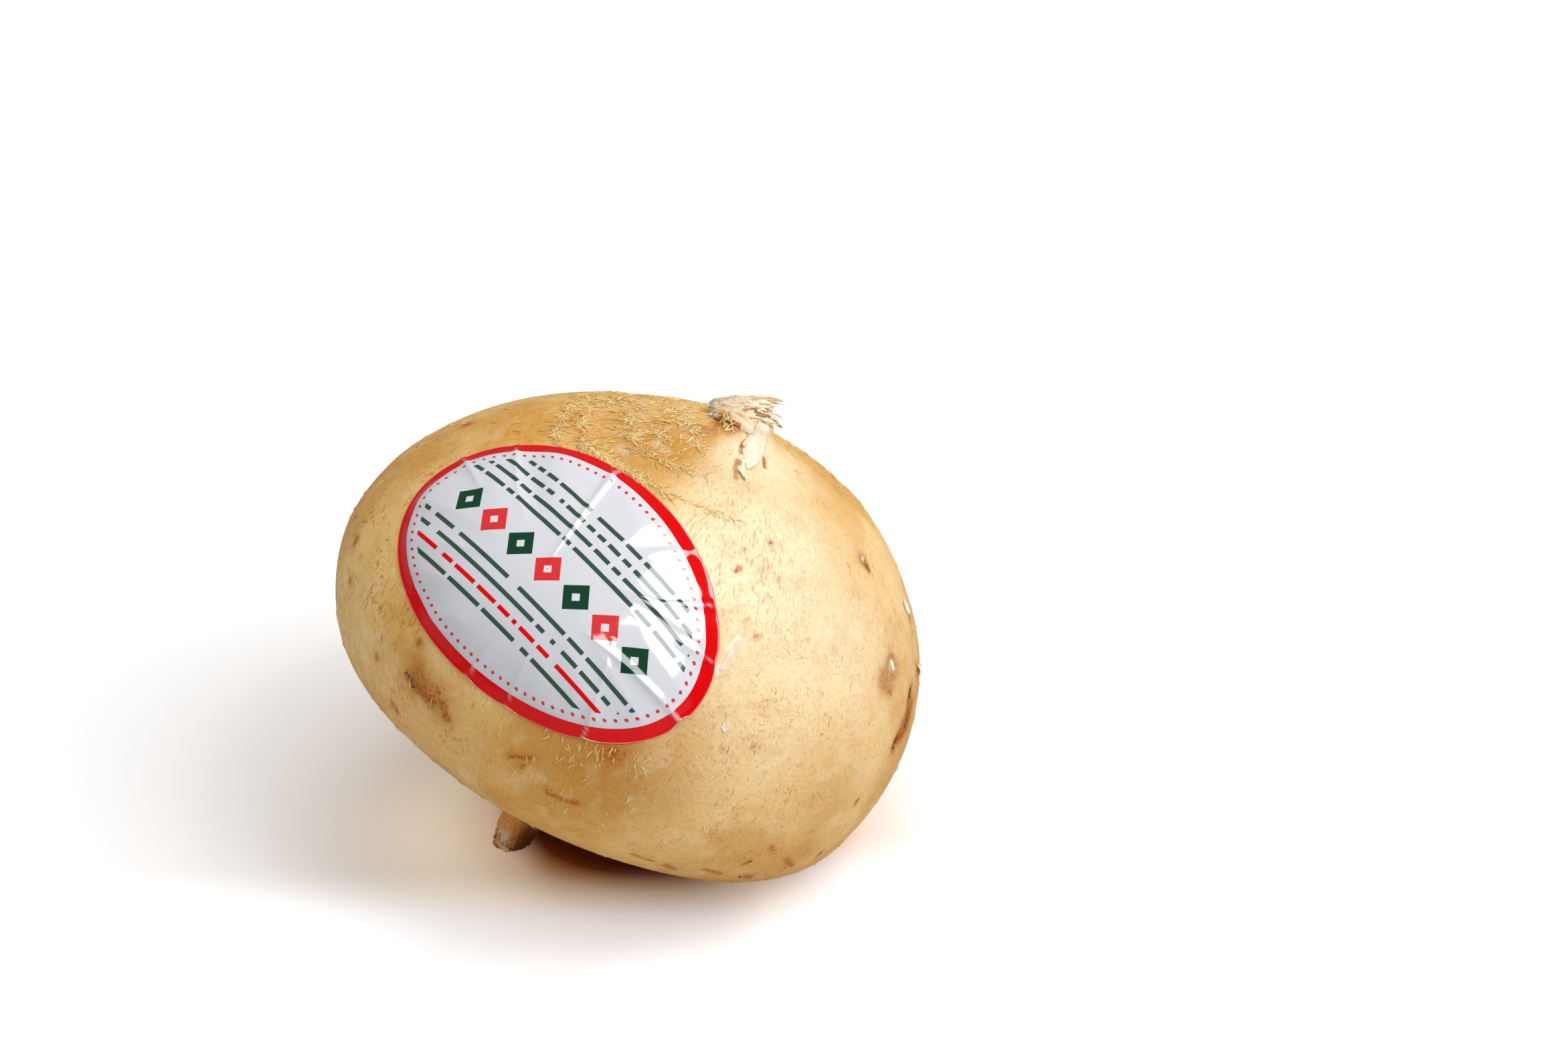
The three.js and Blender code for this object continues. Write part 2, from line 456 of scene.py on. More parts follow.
# the skin's fine shape: slack, wrinkles round the neck, growth rings, scars, dents and the bark of the tail
skinShape = {
    # waves of noise: height, size and seed of each
    "waves": {
        "slack": [(0.3, 24, 1), (0.09, 9, 2)],
        "fine": [(0.02, 3.2, 3), (0.012, 1.6, 4)],
        "neckWrinkles": [(0.07, 0.9, 5), (0.042, 0.45, 6)],
        "barkLumps": [(0.16, 1.7, 7), (0.128, 0.8, 8)],
        "barkRidges": [(0.256, 0.8, 9)],
        "patches": [(0.35, 11, 20), (0.2, 5, 21)],  # of colour, as a share
        "markEdges": [(0.3, 1.9, 34)],  # as a share
        "ringWander": [(0.5, 5, 30)],
        "ringPatches": [(0.6, 2.4, 31)],  # as a share
        "clumps": [(1.7, 3.2, 40), (0.8, 1.4, 41)],  # of fibres, as a share
    },
    # the slack dies out towards the tail's tip and the neck
    "slackAtTail": (8, 26),
    "slackAtNeck": (3, 16),
    "neckRun": ((0.5, 3), (5, 30)),  # distances from the neck between which the skin is fibrous
    "barkRun": (9, 15),
    "neckTube": (24, 0.12),  # width of the tube that the grain is laid on, and its stretch
    "barkTube": (6, 0.3),
    "ringStep": 0.1,
    "ringEven": 0.6,  # share of that step that the patches leave alone
    "ringWidth": 0.9,
    "ringFade": (-12, 8),  # degrees, from the azimuth where a ring fades out
    "wanderRow": 150,  # the rings wander with the noise along this row
    # growth rings round the neck: strength, azimuth where it fades out, then azimuth and height of its places
    "rings": [
        (0.8, 268, [(0, 41.2), (165, 40.5), (183, 39.7), (202, 38.9), (225, 38.0), (254, 38.4), (282, 38.7)]),
        (1.0, 286, [(0, 37.2), (171, 37.6), (188, 36.4), (209, 34.9), (249, 35.3), (279, 35.2), (290, 34.8)]),
        (0.8, 250, [(0, 33.4), (110, 34.6), (177, 35.4), (206, 32.8), (240, 31.2), (290, 31.0)]),
    ],
    # how sharply each kind of mark ends
    "markEdge": {"brown": 2, "rust": 2, "dull": 4, "pale": 4, "milky": 4},
    "rustWidth": 2.6,  # rust marks wider than this are fainter
    "rustFade": 0.7,
    "filmEdge": (0.96, 1.03),  # under the sticker the skin is smooth: shares of the way to its edge
}

# marks on the skin: kind, half width, depth (below nought stands proud), azimuth and height of its places
skinMarks = [
    ("rust", 3.9, 0, [(228.5, -9.0), (234.8, -11.2)]),  # bruise low on the left
    ("brown", 1.1, 0.05, [(226.0, -10.6), (227.8, -11.6)]),
    ("brown", 0.6, 0.1, [(229.4, -12.4)]),
    ("rust", 2.0, 0.04, [(229.7, -11.2), (233.2, -12.4)]),
    ("rust", 1.5, 0, [(235.6, -11.6), (237.2, -13.4)]),
    ("rust", 1.0, 0, [(216, -12.3)]),
    ("rust", 1.2, 0, [(226.8, -3.4)]),
    ("brown", 0.6, 0, [(183.5, 1.8)]),
    ("rust", 1.3, 0, [(193, 0.5)]),
    ("brown", 0.6, 0, [(199.4, -0.1)]),
    ("rust", 1.0, 0, [(199, -5.3)]),
    ("rust", 1.6, 0, [(174, 24.2)]),
    ("brown", 0.6, 0, [(172.8, 15.8)]),
    ("rust", 0.8, 0, [(221, -18.8), (222.7, -20.1)]),
    ("rust", 1.7, 0, [(334.7, 31.1)]),
    ("dull", 1.0, 0.15, [(334.7, 31.1)]),
    ("pale", 0.45, -0.1, [(334.9, 31.5)]),  # small bruise, right shoulder
    ("brown", 0.6, 0.1, [(335.6, 30.8), (335.4, 30.0)]),
    ("dull", 3.2, 0.26, [(335.6, 14.8), (331.4, 13.7)]),  # oval dent on the right
    ("rust", 0.9, 0, [(330.6, 14.4), (331.2, 12.2), (333.0, 11.2)]),
    ("rust", 0.8, 0, [(333.8, 16.6), (335.6, 16.9)]),
    ("pale", 0.6, -0.1, [(334.3, 16.1), (335.1, 14.9)]),
    ("rust", 1.9, 0.45, [(345.2, 7.4), (344.0, 4.2), (338.6, 0.6)]),  # crease scar
    ("brown", 0.8, 0.4, [(346.4, 9.4), (346.6, 7.4)]),
    ("rust", 1.5, 0.2, [(347.4, 6.0), (345.6, 2.6), (341.0, 0.6)]),
    ("dull", 1.0, 0, [(342.6, 5.0), (339.0, 1.6)]),
    ("brown", 0.9, 0.2, [(346.0, 4.4), (344.4, 2.4)]),
    ("brown", 0.9, 0.4, [(340.4, 1.0), (338.2, -0.6)]),
    ("brown", 1.0, -0.9, [(351.0, 11.5)]),
    ("rust", 1.2, 0, [(351.0, 11.5)]),  # knob on the right edge
    ("dull", 1.6, 0.2, [(355.5, 19.5)]),
    ("pale", 0.8, -0.12, [(286, 19.2), (283.6, 14.0)]),  # scratch beside the sticker
    ("pale", 0.7, -0.1, [(287.5, 5.3)]),
    ("rust", 0.5, 0, [(294.2, 2.3)]),
    ("rust", 0.5, 0, [(283.0, 32.1)]),
    ("rust", 0.8, 0, [(292.5, 33.5)]),
    ("rust", 0.35, 0, [(290.0, 30.0)]),
    ("rust", 0.5, 0.05, [(283.0, 29.6), (282.2, 28.8)]),
    ("rust", 0.5, 0, [(290.5, 20.4)]),
    ("rust", 0.5, 0, [(304.0, 21.0)]),
    ("rust", 3.0, 0, [(269.5, -5.4)]),  # stain under the sticker's edge
    ("brown", 0.6, 0.1, [(327.8, -9.2), (327.4, -10.2)]),
    ("brown", 0.6, 0.1, [(327.6, -22.6), (328.0, -23.6)]),
    ("rust", 0.4, 0, [(277.4, -26.0), (282.8, -26.6)]),
    ("rust", 0.8, 0, [(285.6, -27.0)]),
    ("brown", 0.65, 0.1, [(286.5, -27.4), (287.5, -27.8)]),
    ("rust", 0.55, 0, [(294.6, -26.0), (299.2, -26.9)]),  # flecks low in front
    ("brown", 0.45, 0, [(304.4, -27.4), (308.2, -27.9)]),
    ("rust", 0.45, 0, [(305.0, -26.8), (308.4, -27.0)]),
    ("brown", 0.4, 0, [(303.0, -23.6), (304.6, -22.4)]),
    ("rust", 0.55, 0, [(314.4, -22.2), (319.0, -24.8)]),
    ("rust", 0.5, 0, [(307.4, -18.2), (308.6, -19.4)]),
    ("rust", 0.6, 0, [(203.3, -21.9)]),
    ("rust", 0.55, 0, [(259.5, -17.4), (262.0, -18.2), (266.0, -17.5)]),
    ("rust", 0.9, 0, [(254.1, -14.7)]),
    ("rust", 0.6, 0, [(251.6, -13.7), (256.0, -12.0)]),
    ("rust", 0.5, 0.15, [(304.5, 42.0), (300.5, 41.2)]),  # slit by the neck
    ("dull", 0.5, 0.2, [(279.5, 43.4), (277.6, 42.7), (278.6, 42.0)]),  # cracks beside the neck's peel
    ("dull", 0.55, 0.2, [(277.0, 41.3), (275.2, 40.6), (277.0, 39.6)]),
    ("rust", 2.2, 0.1, [(226, 44.6), (250.7, 45.0)]),  # bruised neck, under the frayed stem
    ("dull", 1.8, 0, [(222, 42.2), (236, 42.8)]),
    ("milky", 1.7, 0, [(223.3, 36.9)]),  # thin spots where the flesh shines through
    ("milky", 1.3, 0, [(227.1, 39.2)]),
    ("milky", 1.5, 0, [(234.6, 39.1)]),
    ("milky", 1.2, 0, [(239.0, 41.2)]),
    ("milky", 1.0, 0, [(214.1, 39.7)]),
    ("pale", 1.3, 0, [(230.0, -53.0)]),  # worn side of the tail
    ("rust", 2.2, 0.2, [(96, 20), (104, 12)]),  # bruises and scars on the far side
    ("brown", 0.8, 0.3, [(70, 4), (74, -2), (73, -7)]),
    ("dull", 2.6, 0.4, [(140, -8)]),
    ("brown", 0.6, 0.1, [(150, 14), (153, 12.5)]),
    ("dull", 2.0, 0.3, [(36, 22), (40, 18)]),
    ("brown", 0.7, 0.2, [(20, -10), (26, -12)]),
    ("rust", 1.6, 0, [(55, 30)]),
    ("pale", 0.7, -0.1, [(60, 10), (58, 15)]),
]

# zones of the skin: strength, azimuth, height and half width of each spot
zones = {
    # cream is partly painted light: paler skin laid where the front right is lit
    "cream": [(1.25, 291, 32, 22), (1, 306, 19, 27), (1.1, 297, 42, 14), (0.38, 330, 24, 24),
              (0.3, 306, 0, 18)],
    "creamGaps": [(0.6, 316, -4, 16), (0.15, 303, 14, 14)],
    # gold is partly painted shade: deeper gold on the shaded left and low sides and at the right rim
    "gold": [(1, 270, -6, 20), (0.4, 236, -20, 14), (0.5, 190, 21, 13), (0.9, 228, 38, 16),
             (0.35, 200, 34, 14), (0.5, 252, 39, 10), (0.6, 232, -30, 26), (1, 300, -34, 30),
             (0.6, 350, -2, 26), (0.6, 316, -6, 18), (0.3, 178, 26, 22), (0.5, 120, 30, 30),
             (0.5, 60, -20, 34)],
    "curled": [(1, 292, 6, 22), (1, 300, -18, 26), (0.04, 300, 30, 26), (0.5, 262, -20, 26)],
    "crackled": [(1, 278, 36, 15), (0.8, 285, 27, 12)],
    "worn": [(1, 228, -52.6, 2)],
    "fibrous": [(0.16, 269, -5.2, 5), (0.06, 256, -4, 14), (0.05, 283, 3, 9)],
}
# runs of azimuth and height over which other zones come in and go out, and how patchy the colours are
zoneRuns = {
    "creamRight": (243, 262),  # cream lies to the right of this, or lower than the next
    "creamLow": (20, 30),
    "creamPatchy": 0.45,
    "goldPatchy": 0.6,
    "smearedAround": ((140, 170), (222, 250)),
    "smearedUp": (-36, -10),
    # painted shade on one side of the tail, darker towards its tip
    "tailShadeAround": ((246, 290), (335, 358)),
    "tailShadeDown": (-44, -52),
    "tailShadeShare": 0.65,  # of the painted tail shade that the height takes away
    "ringOffCream": 0.5,  # share of a ring's tint missing from the cream skin
}


def summed(points, layers):
    # waves of noise laid over each other
    return sum(rise * lumps(points, size, seed) for rise, size, seed in layers)


def waves(points, name):
    return summed(points, skinShape["waves"][name])


def tube(width, stretch):
    # places on an even tube that the skin is rolled onto, so that the grain runs from stem to tail
    return gathered(width * np.cos(azimuth), width * np.sin(azimuth), stretch * fromTail)


def zone(name):
    # how strongly each spot of the zone reaches each point of the skin
    masks = []
    for strength, spotBearing, spotHeight, halfWidth in zones[name]:
        centre = onSkin(*gridPlace(np.array(spotBearing), spotHeight))[0]
        masks.append(strength * np.exp(-(np.linalg.norm(skin - centre, axis=-1) / halfWidth) ** 2))
    return np.array(masks)


slack = smooth(*skinShape["slackAtTail"], fromTail) * smooth(*skinShape["slackAtNeck"], fromNeck)
skin = skin + (waves(skin, "slack") * slack)[..., None] * outward
outward = outwardOf(skin)
smoothSkin = BVHTree.FromPolygons((skin.reshape(-1, 3) * mm).tolist(), gridFaces(*skin.shape[:2]))

marks = {kind: np.zeros(skin.shape[:2]) for kind in skinShape["markEdge"]}
dents = np.zeros(skin.shape[:2])
uneven = 1 + waves(skin, "markEdges")
for kind, halfWidth, depth, line in skinMarks:
    places = [onSkin(*gridPlace(np.array(a), h))[0] for a, h in line]
    away, _ = lineDistance(skin, places)
    mask = np.exp(-(away * uneven / halfWidth) ** skinShape["markEdge"][kind])
    if kind == "rust":
        mask = mask * min(1, skinShape["rustWidth"] / halfWidth) ** skinShape["rustFade"]
    marks[kind] = np.maximum(marks[kind], mask)
    dents += depth * mask

ringNear = np.zeros(skin.shape[:2])
for strength, fadeAt, ring in skinShape["rings"]:
    ringHeight = np.interp(bearing[0], *np.array(ring).T, period=360)
    strength = strength * (1 - smooth(*skinShape["ringFade"], bearing - fadeAt))
    ringAlong = np.interp(ringHeight, height[:, 0], fromTail[:, 0])
    ringAlong = ringAlong + waves(skin[skinShape["wanderRow"]], "ringWander")
    offRing = (fromTail - ringAlong) / skinShape["ringWidth"]
    ringNear = np.maximum(ringNear, strength * np.exp(-offRing ** 2))

underFilm = 1 - smooth(*skinShape["filmEdge"], ovalShareOf(skin))
nearNeck = band(*skinShape["neckRun"], fromNeck) + 0 * azimuth
bark = 1 - smooth(*skinShape["barkRun"], fromTail)
barkGrain = waves(skin, "barkLumps") + waves(tube(*skinShape["barkTube"]), "barkRidges")
ringStep = skinShape["ringStep"] * ringNear * (skinShape["ringEven"] + waves(skin, "ringPatches"))
fine = (waves(skin, "fine") * (1 - bark) + waves(tube(*skinShape["neckTube"]), "neckWrinkles") * nearNeck
        + ringStep + barkGrain * bark - dents)
skin = skin + (fine * (1 - underFilm))[..., None] * outward
skin[..., 2] = np.maximum(skin[..., 2], 0.0)
outward = outwardOf(skin)

# where the skin is cream (partly painted light), where it is golden (partly painted shade), and where its
# brown marks smear or its fine lines curl
creamPatches = 1 + zoneRuns["creamPatchy"] * waves(skin, "patches")
goldPatches = 1 + zoneRuns["goldPatchy"] * waves(skin, "patches")
rightOrLow = np.maximum(smooth(*zoneRuns["creamRight"], bearing), 1 - smooth(*zoneRuns["creamLow"], height))
cream = np.clip(zone("cream").max(axis=0) * rightOrLow * creamPatches, 0, 1)
cream = cream * (1 - zone("creamGaps")).prod(axis=0)
gold = np.clip(zone("gold").max(axis=0) * goldPatches, 0, 1)
smeared = band(*zoneRuns["smearedAround"], bearing) * smooth(*zoneRuns["smearedUp"], height)
curled = np.clip(zone("curled").sum(axis=0), 0, 1)
print("skin shape and marks done")


def walkOnSkin(row, column, heading, bend, stride, count, rise):
    # paths that wander over the skin from their starts; rise is each path's height above it at each point
    points = []
    normals = []
    for k in range(count):
        place, normal = onSkin(row, column)
        points.append(place + rise[:, k, None] * normal)
        normals.append(normal)
        rowGap, columnGap = gapsAt(row)
        row = row + np.cos(heading) * stride / rowGap
        column = column + np.sin(heading) * stride / columnGap
        heading = heading + bend
    return np.stack(points, axis=1), np.stack(normals, axis=1)


def strands(paths, normals, halfWidth, halfThick, sides):
    # closed tapering strands along the paths, flat across their normals
    along = unit(np.gradient(paths, axis=1))
    across = unit(np.cross(along, normals))
    lifted = np.cross(across, along)
    angle = np.arange(sides) * fullTurn / sides
    rim = (across[:, :, None] * (halfWidth[..., None] * np.cos(angle))[..., None]
           + lifted[:, :, None] * (halfThick[..., None] * np.sin(angle))[..., None])
    points = (paths[:, :, None] + rim).reshape(-1, 3)
    points[:, 2] = np.maximum(points[:, 2], lowestPlace)
    index = np.arange(len(points)).reshape(*paths.shape[:2], sides)
    following = np.roll(index, -1, axis=2)
    walls = np.stack([index[:, :-1], index[:, 1:], following[:, 1:], following[:, :-1]], axis=-1)
    return points, walls.reshape(-1, 4).tolist() + index[:, 0].tolist() + index[:, -1, ::-1].tolist()


def fibreMaterial(name, tints):
    # dry bast fibre: gold or buff where thick, nearly straw white at its frayed tips, with a silky gloss
    material, tree, surface = newMaterial(name)
    colour = addNode(tree, "ValToRGB", {0: carried(tree, "tint", "Fac")}, stops=tints)
    fillInputs(tree, surface, {"Base Color": colour, "Roughness": 0.5, "Specular IOR Level": 0.2})
    return material


# dry fibres that lie and curl on the skin, thickest round the neck and along its growth rings
fibres = {
    "count": 3000,
    "points": 5,
    "sides": 3,
    "length": (0.9, 3.1),
    "halfWidth": (0.09, 0.17),
    "taper": ([0, 0.2, 0.7, 1], [0.5, 1, 0.85, 0.25]),
    "rise": 0.03,
    "curlUp": 0.2,
    "tipCurl": 1.6,  # of the tips, against the middles
    # how thickly they lie: everywhere, round the neck, along the rings, and right on the rings
    "everywhere": 0.002,
    "onNeck": 0.36,
    "onRings": 2.2,
    "ringEdge": 1.3,
    "neckRun": ((4, 8), (15, 31)),
    "sideRun": ((140, 175), (248, 292)),
    "ringRun": (150, 175),
    "clumpMiddle": 0.45,
    "clumpLimits": (0.02, 2.5),
    "offCream": 0.93,  # shares missing from the cream skin, from its rings and from the bark
    "offCreamRings": 0.6,
    "offBark": 0.7,
    # how far they turn and bend and how long they are: a plain share, and what their tangle adds
    "turn": (0.3, 0.8),
    "bend": (0.16, 0.3),
    "lengthShare": (0.75, 0.4),
    "followRing": 0.9,  # the share of those at a ring that run along it, and how far they turn from it
    "ringTurn": 0.35,
    # those on cream skin lie flatter and are more slender
    "creamFlat": 0.7,
    "creamSlender": 0.3,
    # how light they are: each, then more round the neck, more on cream, and how much it varies
    "light": (0.66, 0.2, 0.1, 0.13),
    "tipLight": (-0.1, 0.15),
    "tints": [(0.0, "#b47428"), (0.35, "#dea650"), (0.7, "#f2d084"), (1.0, "#fdeab4")],
}


def fibreDensity(spec):
    clump = np.clip(spec["clumpMiddle"] + waves(skin, "clumps"), *spec["clumpLimits"])
    side = 0.2 + 0.8 * band(*spec["sideRun"], bearing)
    density = (spec["everywhere"] * (1 + 2 * smooth(0.3, 0.9, clump))
               + spec["onNeck"] * band(*spec["neckRun"], fromNeck) * side * clump
               + spec["onRings"] * ringNear * side * clump + zone("fibrous").sum(axis=0) * clump)
    ringSide = smooth(*spec["ringRun"], bearing) * (0.3 + 0.7 * np.minimum(clump, 1))
    onRing = spec["ringEdge"] * ringNear ** 4 * ringSide
    density = density * (1 - spec["offCream"] * cream) + onRing * (1 - spec["offCreamRings"] * cream)
    return density * (ovalShareOf(skin) > 1.01) * (1 - spec["offBark"] * bark)


def fibrePiece(spec):
    count = spec["count"]
    density = fibreDensity(spec)
    weight = (density * radius * np.gradient(fromTail[:, 0])[:, None]).ravel()
    cells = chance.choice(len(weight), count, p=weight / weight.sum())
    onCream = cream.ravel()[cells]
    row, column = np.divmod(cells, root["columns"])
    row = row + chance.uniform(-0.5, 0.5, count)
    column = column + chance.uniform(-0.5, 0.5, count)
    tangle = smooth(0.1, 0.5, density.ravel()[cells])
    turn, bend, lengthShare = (
        spec[name][0] + spec[name][1] * tangle for name in ("turn", "bend", "lengthShare"))
    heading = chance.normal(0, turn) + math.pi * chance.integers(0, 2, count)
    onRing = chance.uniform(0, 1, count) < spec["followRing"] * smooth(0.45, 0.8, ringNear.ravel()[cells])
    heading = np.where(onRing, math.pi / 2 + chance.normal(0, spec["ringTurn"], count), heading)
    bend = chance.normal(0, bend)
    length = chance.uniform(*spec["length"], count) * lengthShare
    k = np.linspace(0, 1, spec["points"])
    arch = chance.uniform(0, 1, (count, 1)) * spec["curlUp"] * np.sin(math.pi * k)
    tip = chance.uniform(0, 1, (count, 1)) ** 3 * spec["curlUp"] * spec["tipCurl"] * k ** 2
    rise = spec["rise"] + (arch + tip) * (1 - spec["creamFlat"] * onCream[:, None])
    stride = length / (spec["points"] - 1)
    paths, normals = walkOnSkin(row, column, heading, bend, stride, spec["points"], rise)
    slender = 1 - spec["creamSlender"] * onCream[:, None]
    halfWidth = chance.uniform(*spec["halfWidth"], (count, 1)) * np.interp(k, *spec["taper"]) * slender
    points, faces = strands(paths, normals, halfWidth, 0.6 * halfWidth, spec["sides"])
    each, byNeck, byCream, spread = spec["light"]
    light = each + byNeck * smooth(0.1, 0.5, nearNeck.ravel()[cells]) + byCream * onCream
    light = light + chance.normal(0, spread, count)
    tint = np.clip(light[:, None] + np.linspace(*spec["tipLight"], spec["points"]), 0, 1)
    material = fibreMaterial("goldenSkinFibre", spec["tints"])
    tint = np.repeat(tint.ravel(), spec["sides"])
    return makePiece("skin_fibres", points, faces, material, {"tint": tint})


fibrePiece(fibres)


# the frayed stem end: a crust of dead tissue, torn strands that all lean to the right, and a flap
stemEnd = {
    "crustCentre": (-2.5, 0.2, -0.4),  # from the middle of the neck's end: right, back and up
    "crustSize": (5.1, 4.4, 2.0),
    "crustRows": 70,
    "crustColumns": 110,
    # lumps of the crust: height as a share, size and seed; the stringy ones run sideways
    "crustLumps": [(0.16, 2.6, 50)],
    "stringyLumps": [(0.12, 1.1, 51), (0.08, 0.5, 52)],
    "crustTint": (0.42, 0.14, 0.3),  # its middle, how much it gains to the right, and how much it varies
    "crustTints": [(0.0, "#c8ab82"), (0.4, "#dfc7a0"), (0.75, "#ecd4ac"), (1.0, "#f4e2c2")],
    "crustGrains": {
        "pores": ("plain", (0.9, 0.45, 0.45), 3, 0.52, 0.64),
        "straw": ("plain", (2.2, 0.5, 0.5), 3, 0.45, 0.62),
    },
    "strandPoints": 13,
    "strandSides": 6,
    # bundles of strands: how many, start, its spread, end, its spread, half width, arch, drop of the tip
    "bundles": [
        (13, (-0.8, 0.4, 0.6), (1.2, 2.4, 0.5), (4.9, 1.4, 0.6), (1.4, 2.4, 0.5), (0.45, 1.0), 0.3, 0.1),
        (14, (-1.4, 0.2, 1.0), (1.8, 2.8, 0.4), (5.2, 0.9, 0.7), (1.8, 2.8, 0.6), (0.12, 0.35), 0.3, 0.1),
        (8, (-1.6, -2.8, 0.1), (1.4, 0.9, 0.4), (5.0, -2.2, -0.6), (1.2, 0.9, 0.4), (0.4, 0.9), 0.3, 0.6),
        (10, (-2.4, -3.0, 0.3), (1.8, 1.0, 0.4), (5.2, -2.4, -0.6), (1.6, 1.4, 0.5), (0.12, 0.35), 0.4, 0.6),
        (4, (0.2, -2.5, 0.1), (0.8, 0.4, 0.3), (6.4, -2.1, -1.3), (0.5, 0.3, 0.3), (0.3, 0.55), 0.6, 1.7),
        (8, (-1.8, 3.0, 0.1), (1.8, 1.0, 0.4), (3.9, 3.6, -0.9), (1.5, 1.2, 0.6), (0.15, 0.6), 0.3, 0.4),
        (12, (-4.6, -3.2, 0.1), (1.8, 0.7, 0.5), (0.2, -4.8, -1.0), (1.6, 0.7, 0.6), (0.2, 0.6), 0.3, 0.5),
        (12, (1.0, 0.0, -0.7), (1.0, 3.0, 0.4), (4.8, 0.2, -1.6), (0.9, 3.0, 0.5), (0.4, 0.9), 0.2, 0.2),
    ],
    "strandLights": ([0.12, 0.55, 0.85, 1.0], [0.16, 0.2, 0.34, 0.3]),  # tints, and how common each is
    "strandShake": 0.11,
    "strandTaper": ([0, 0.2, 0.75, 1], [0.5, 1, 0.75, 0.12]),
    "stubs": 60,
    "stubShake": 0.03,
    "stubTaper": ([0, 0.3, 1], [0.8, 1, 0.15]),
    "stubLength": (0.9, 2.2),
    "stubHalfWidth": (0.15, 0.4),
    "stubLean": 0.6,  # to the right
    "tints": [(0.0, "#8c5626"), (0.35, "#d2a676"), (0.7, "#f0d8b4"), (1.0, "#fcf0d8")],
    "flap": [(-3.4, -3.4, 1.6, 0.4), (-2.3, -4.9, 0.9, 0.9), (-0.9, -5.9, -0.1, 1.15), (0.5, -6.4, -0.9, 0.8),
             (1.4, -6.5, -1.5, 0.15)],  # right, back, up and half width
    "flapThick": 0.18,
}
neckTop = rootOrigin - 0.2 * sideways + 47.3 * upward


def crustMaterial(look):
    # dead stem tissue: grey and corky on the left, cream and fibrous to the right, with dark pores
    material, tree, surface = newMaterial("deadStemTissue")
    masks = grainMasks(tree, {"plain": placesInMm(tree)}, look["crustGrains"])
    tissue = addNode(tree, "ValToRGB", {0: carried(tree, "tint", "Fac")}, stops=look["crustTints"])
    colour = layered(tree, tissue, [("#f1e4ca", 0.55, "straw"), ("#a87c50", 0.4, "pores")], masks)
    addBump(tree, surface, [(-0.12, "pores"), (0.1, "straw")], masks)
    fillInputs(tree, surface, {"Base Color": colour, "Roughness": 0.85})
    return material


def crustPiece(spec):
    rise = np.linspace(-math.pi / 2, math.pi / 2, spec["crustRows"])[:, None]
    turn = np.linspace(0, fullTurn, spec["crustColumns"], endpoint=False)[None, :]
    ball = gathered(np.cos(rise) * np.cos(turn), np.cos(rise) * np.sin(turn), np.sin(rise))
    torn = ball * spec["crustSize"]
    stringy = torn * (0.5, 1.0, 1.0)
    swell = summed(torn, spec["crustLumps"]) + summed(stringy, spec["stringyLumps"])
    points = torn * (1 + swell)[..., None] + spec["crustCentre"] + neckTop
    middle, gain, spread = spec["crustTint"]
    tint = np.clip(middle + gain * torn[..., 0] + spread * lumps(torn, 2.0, 53), 0, 1)
    return makePiece("stem_crust", points.reshape(-1, 3), cappedGrid(*points.shape[:2]), crustMaterial(spec),
                     {"tint": tint.ravel()})


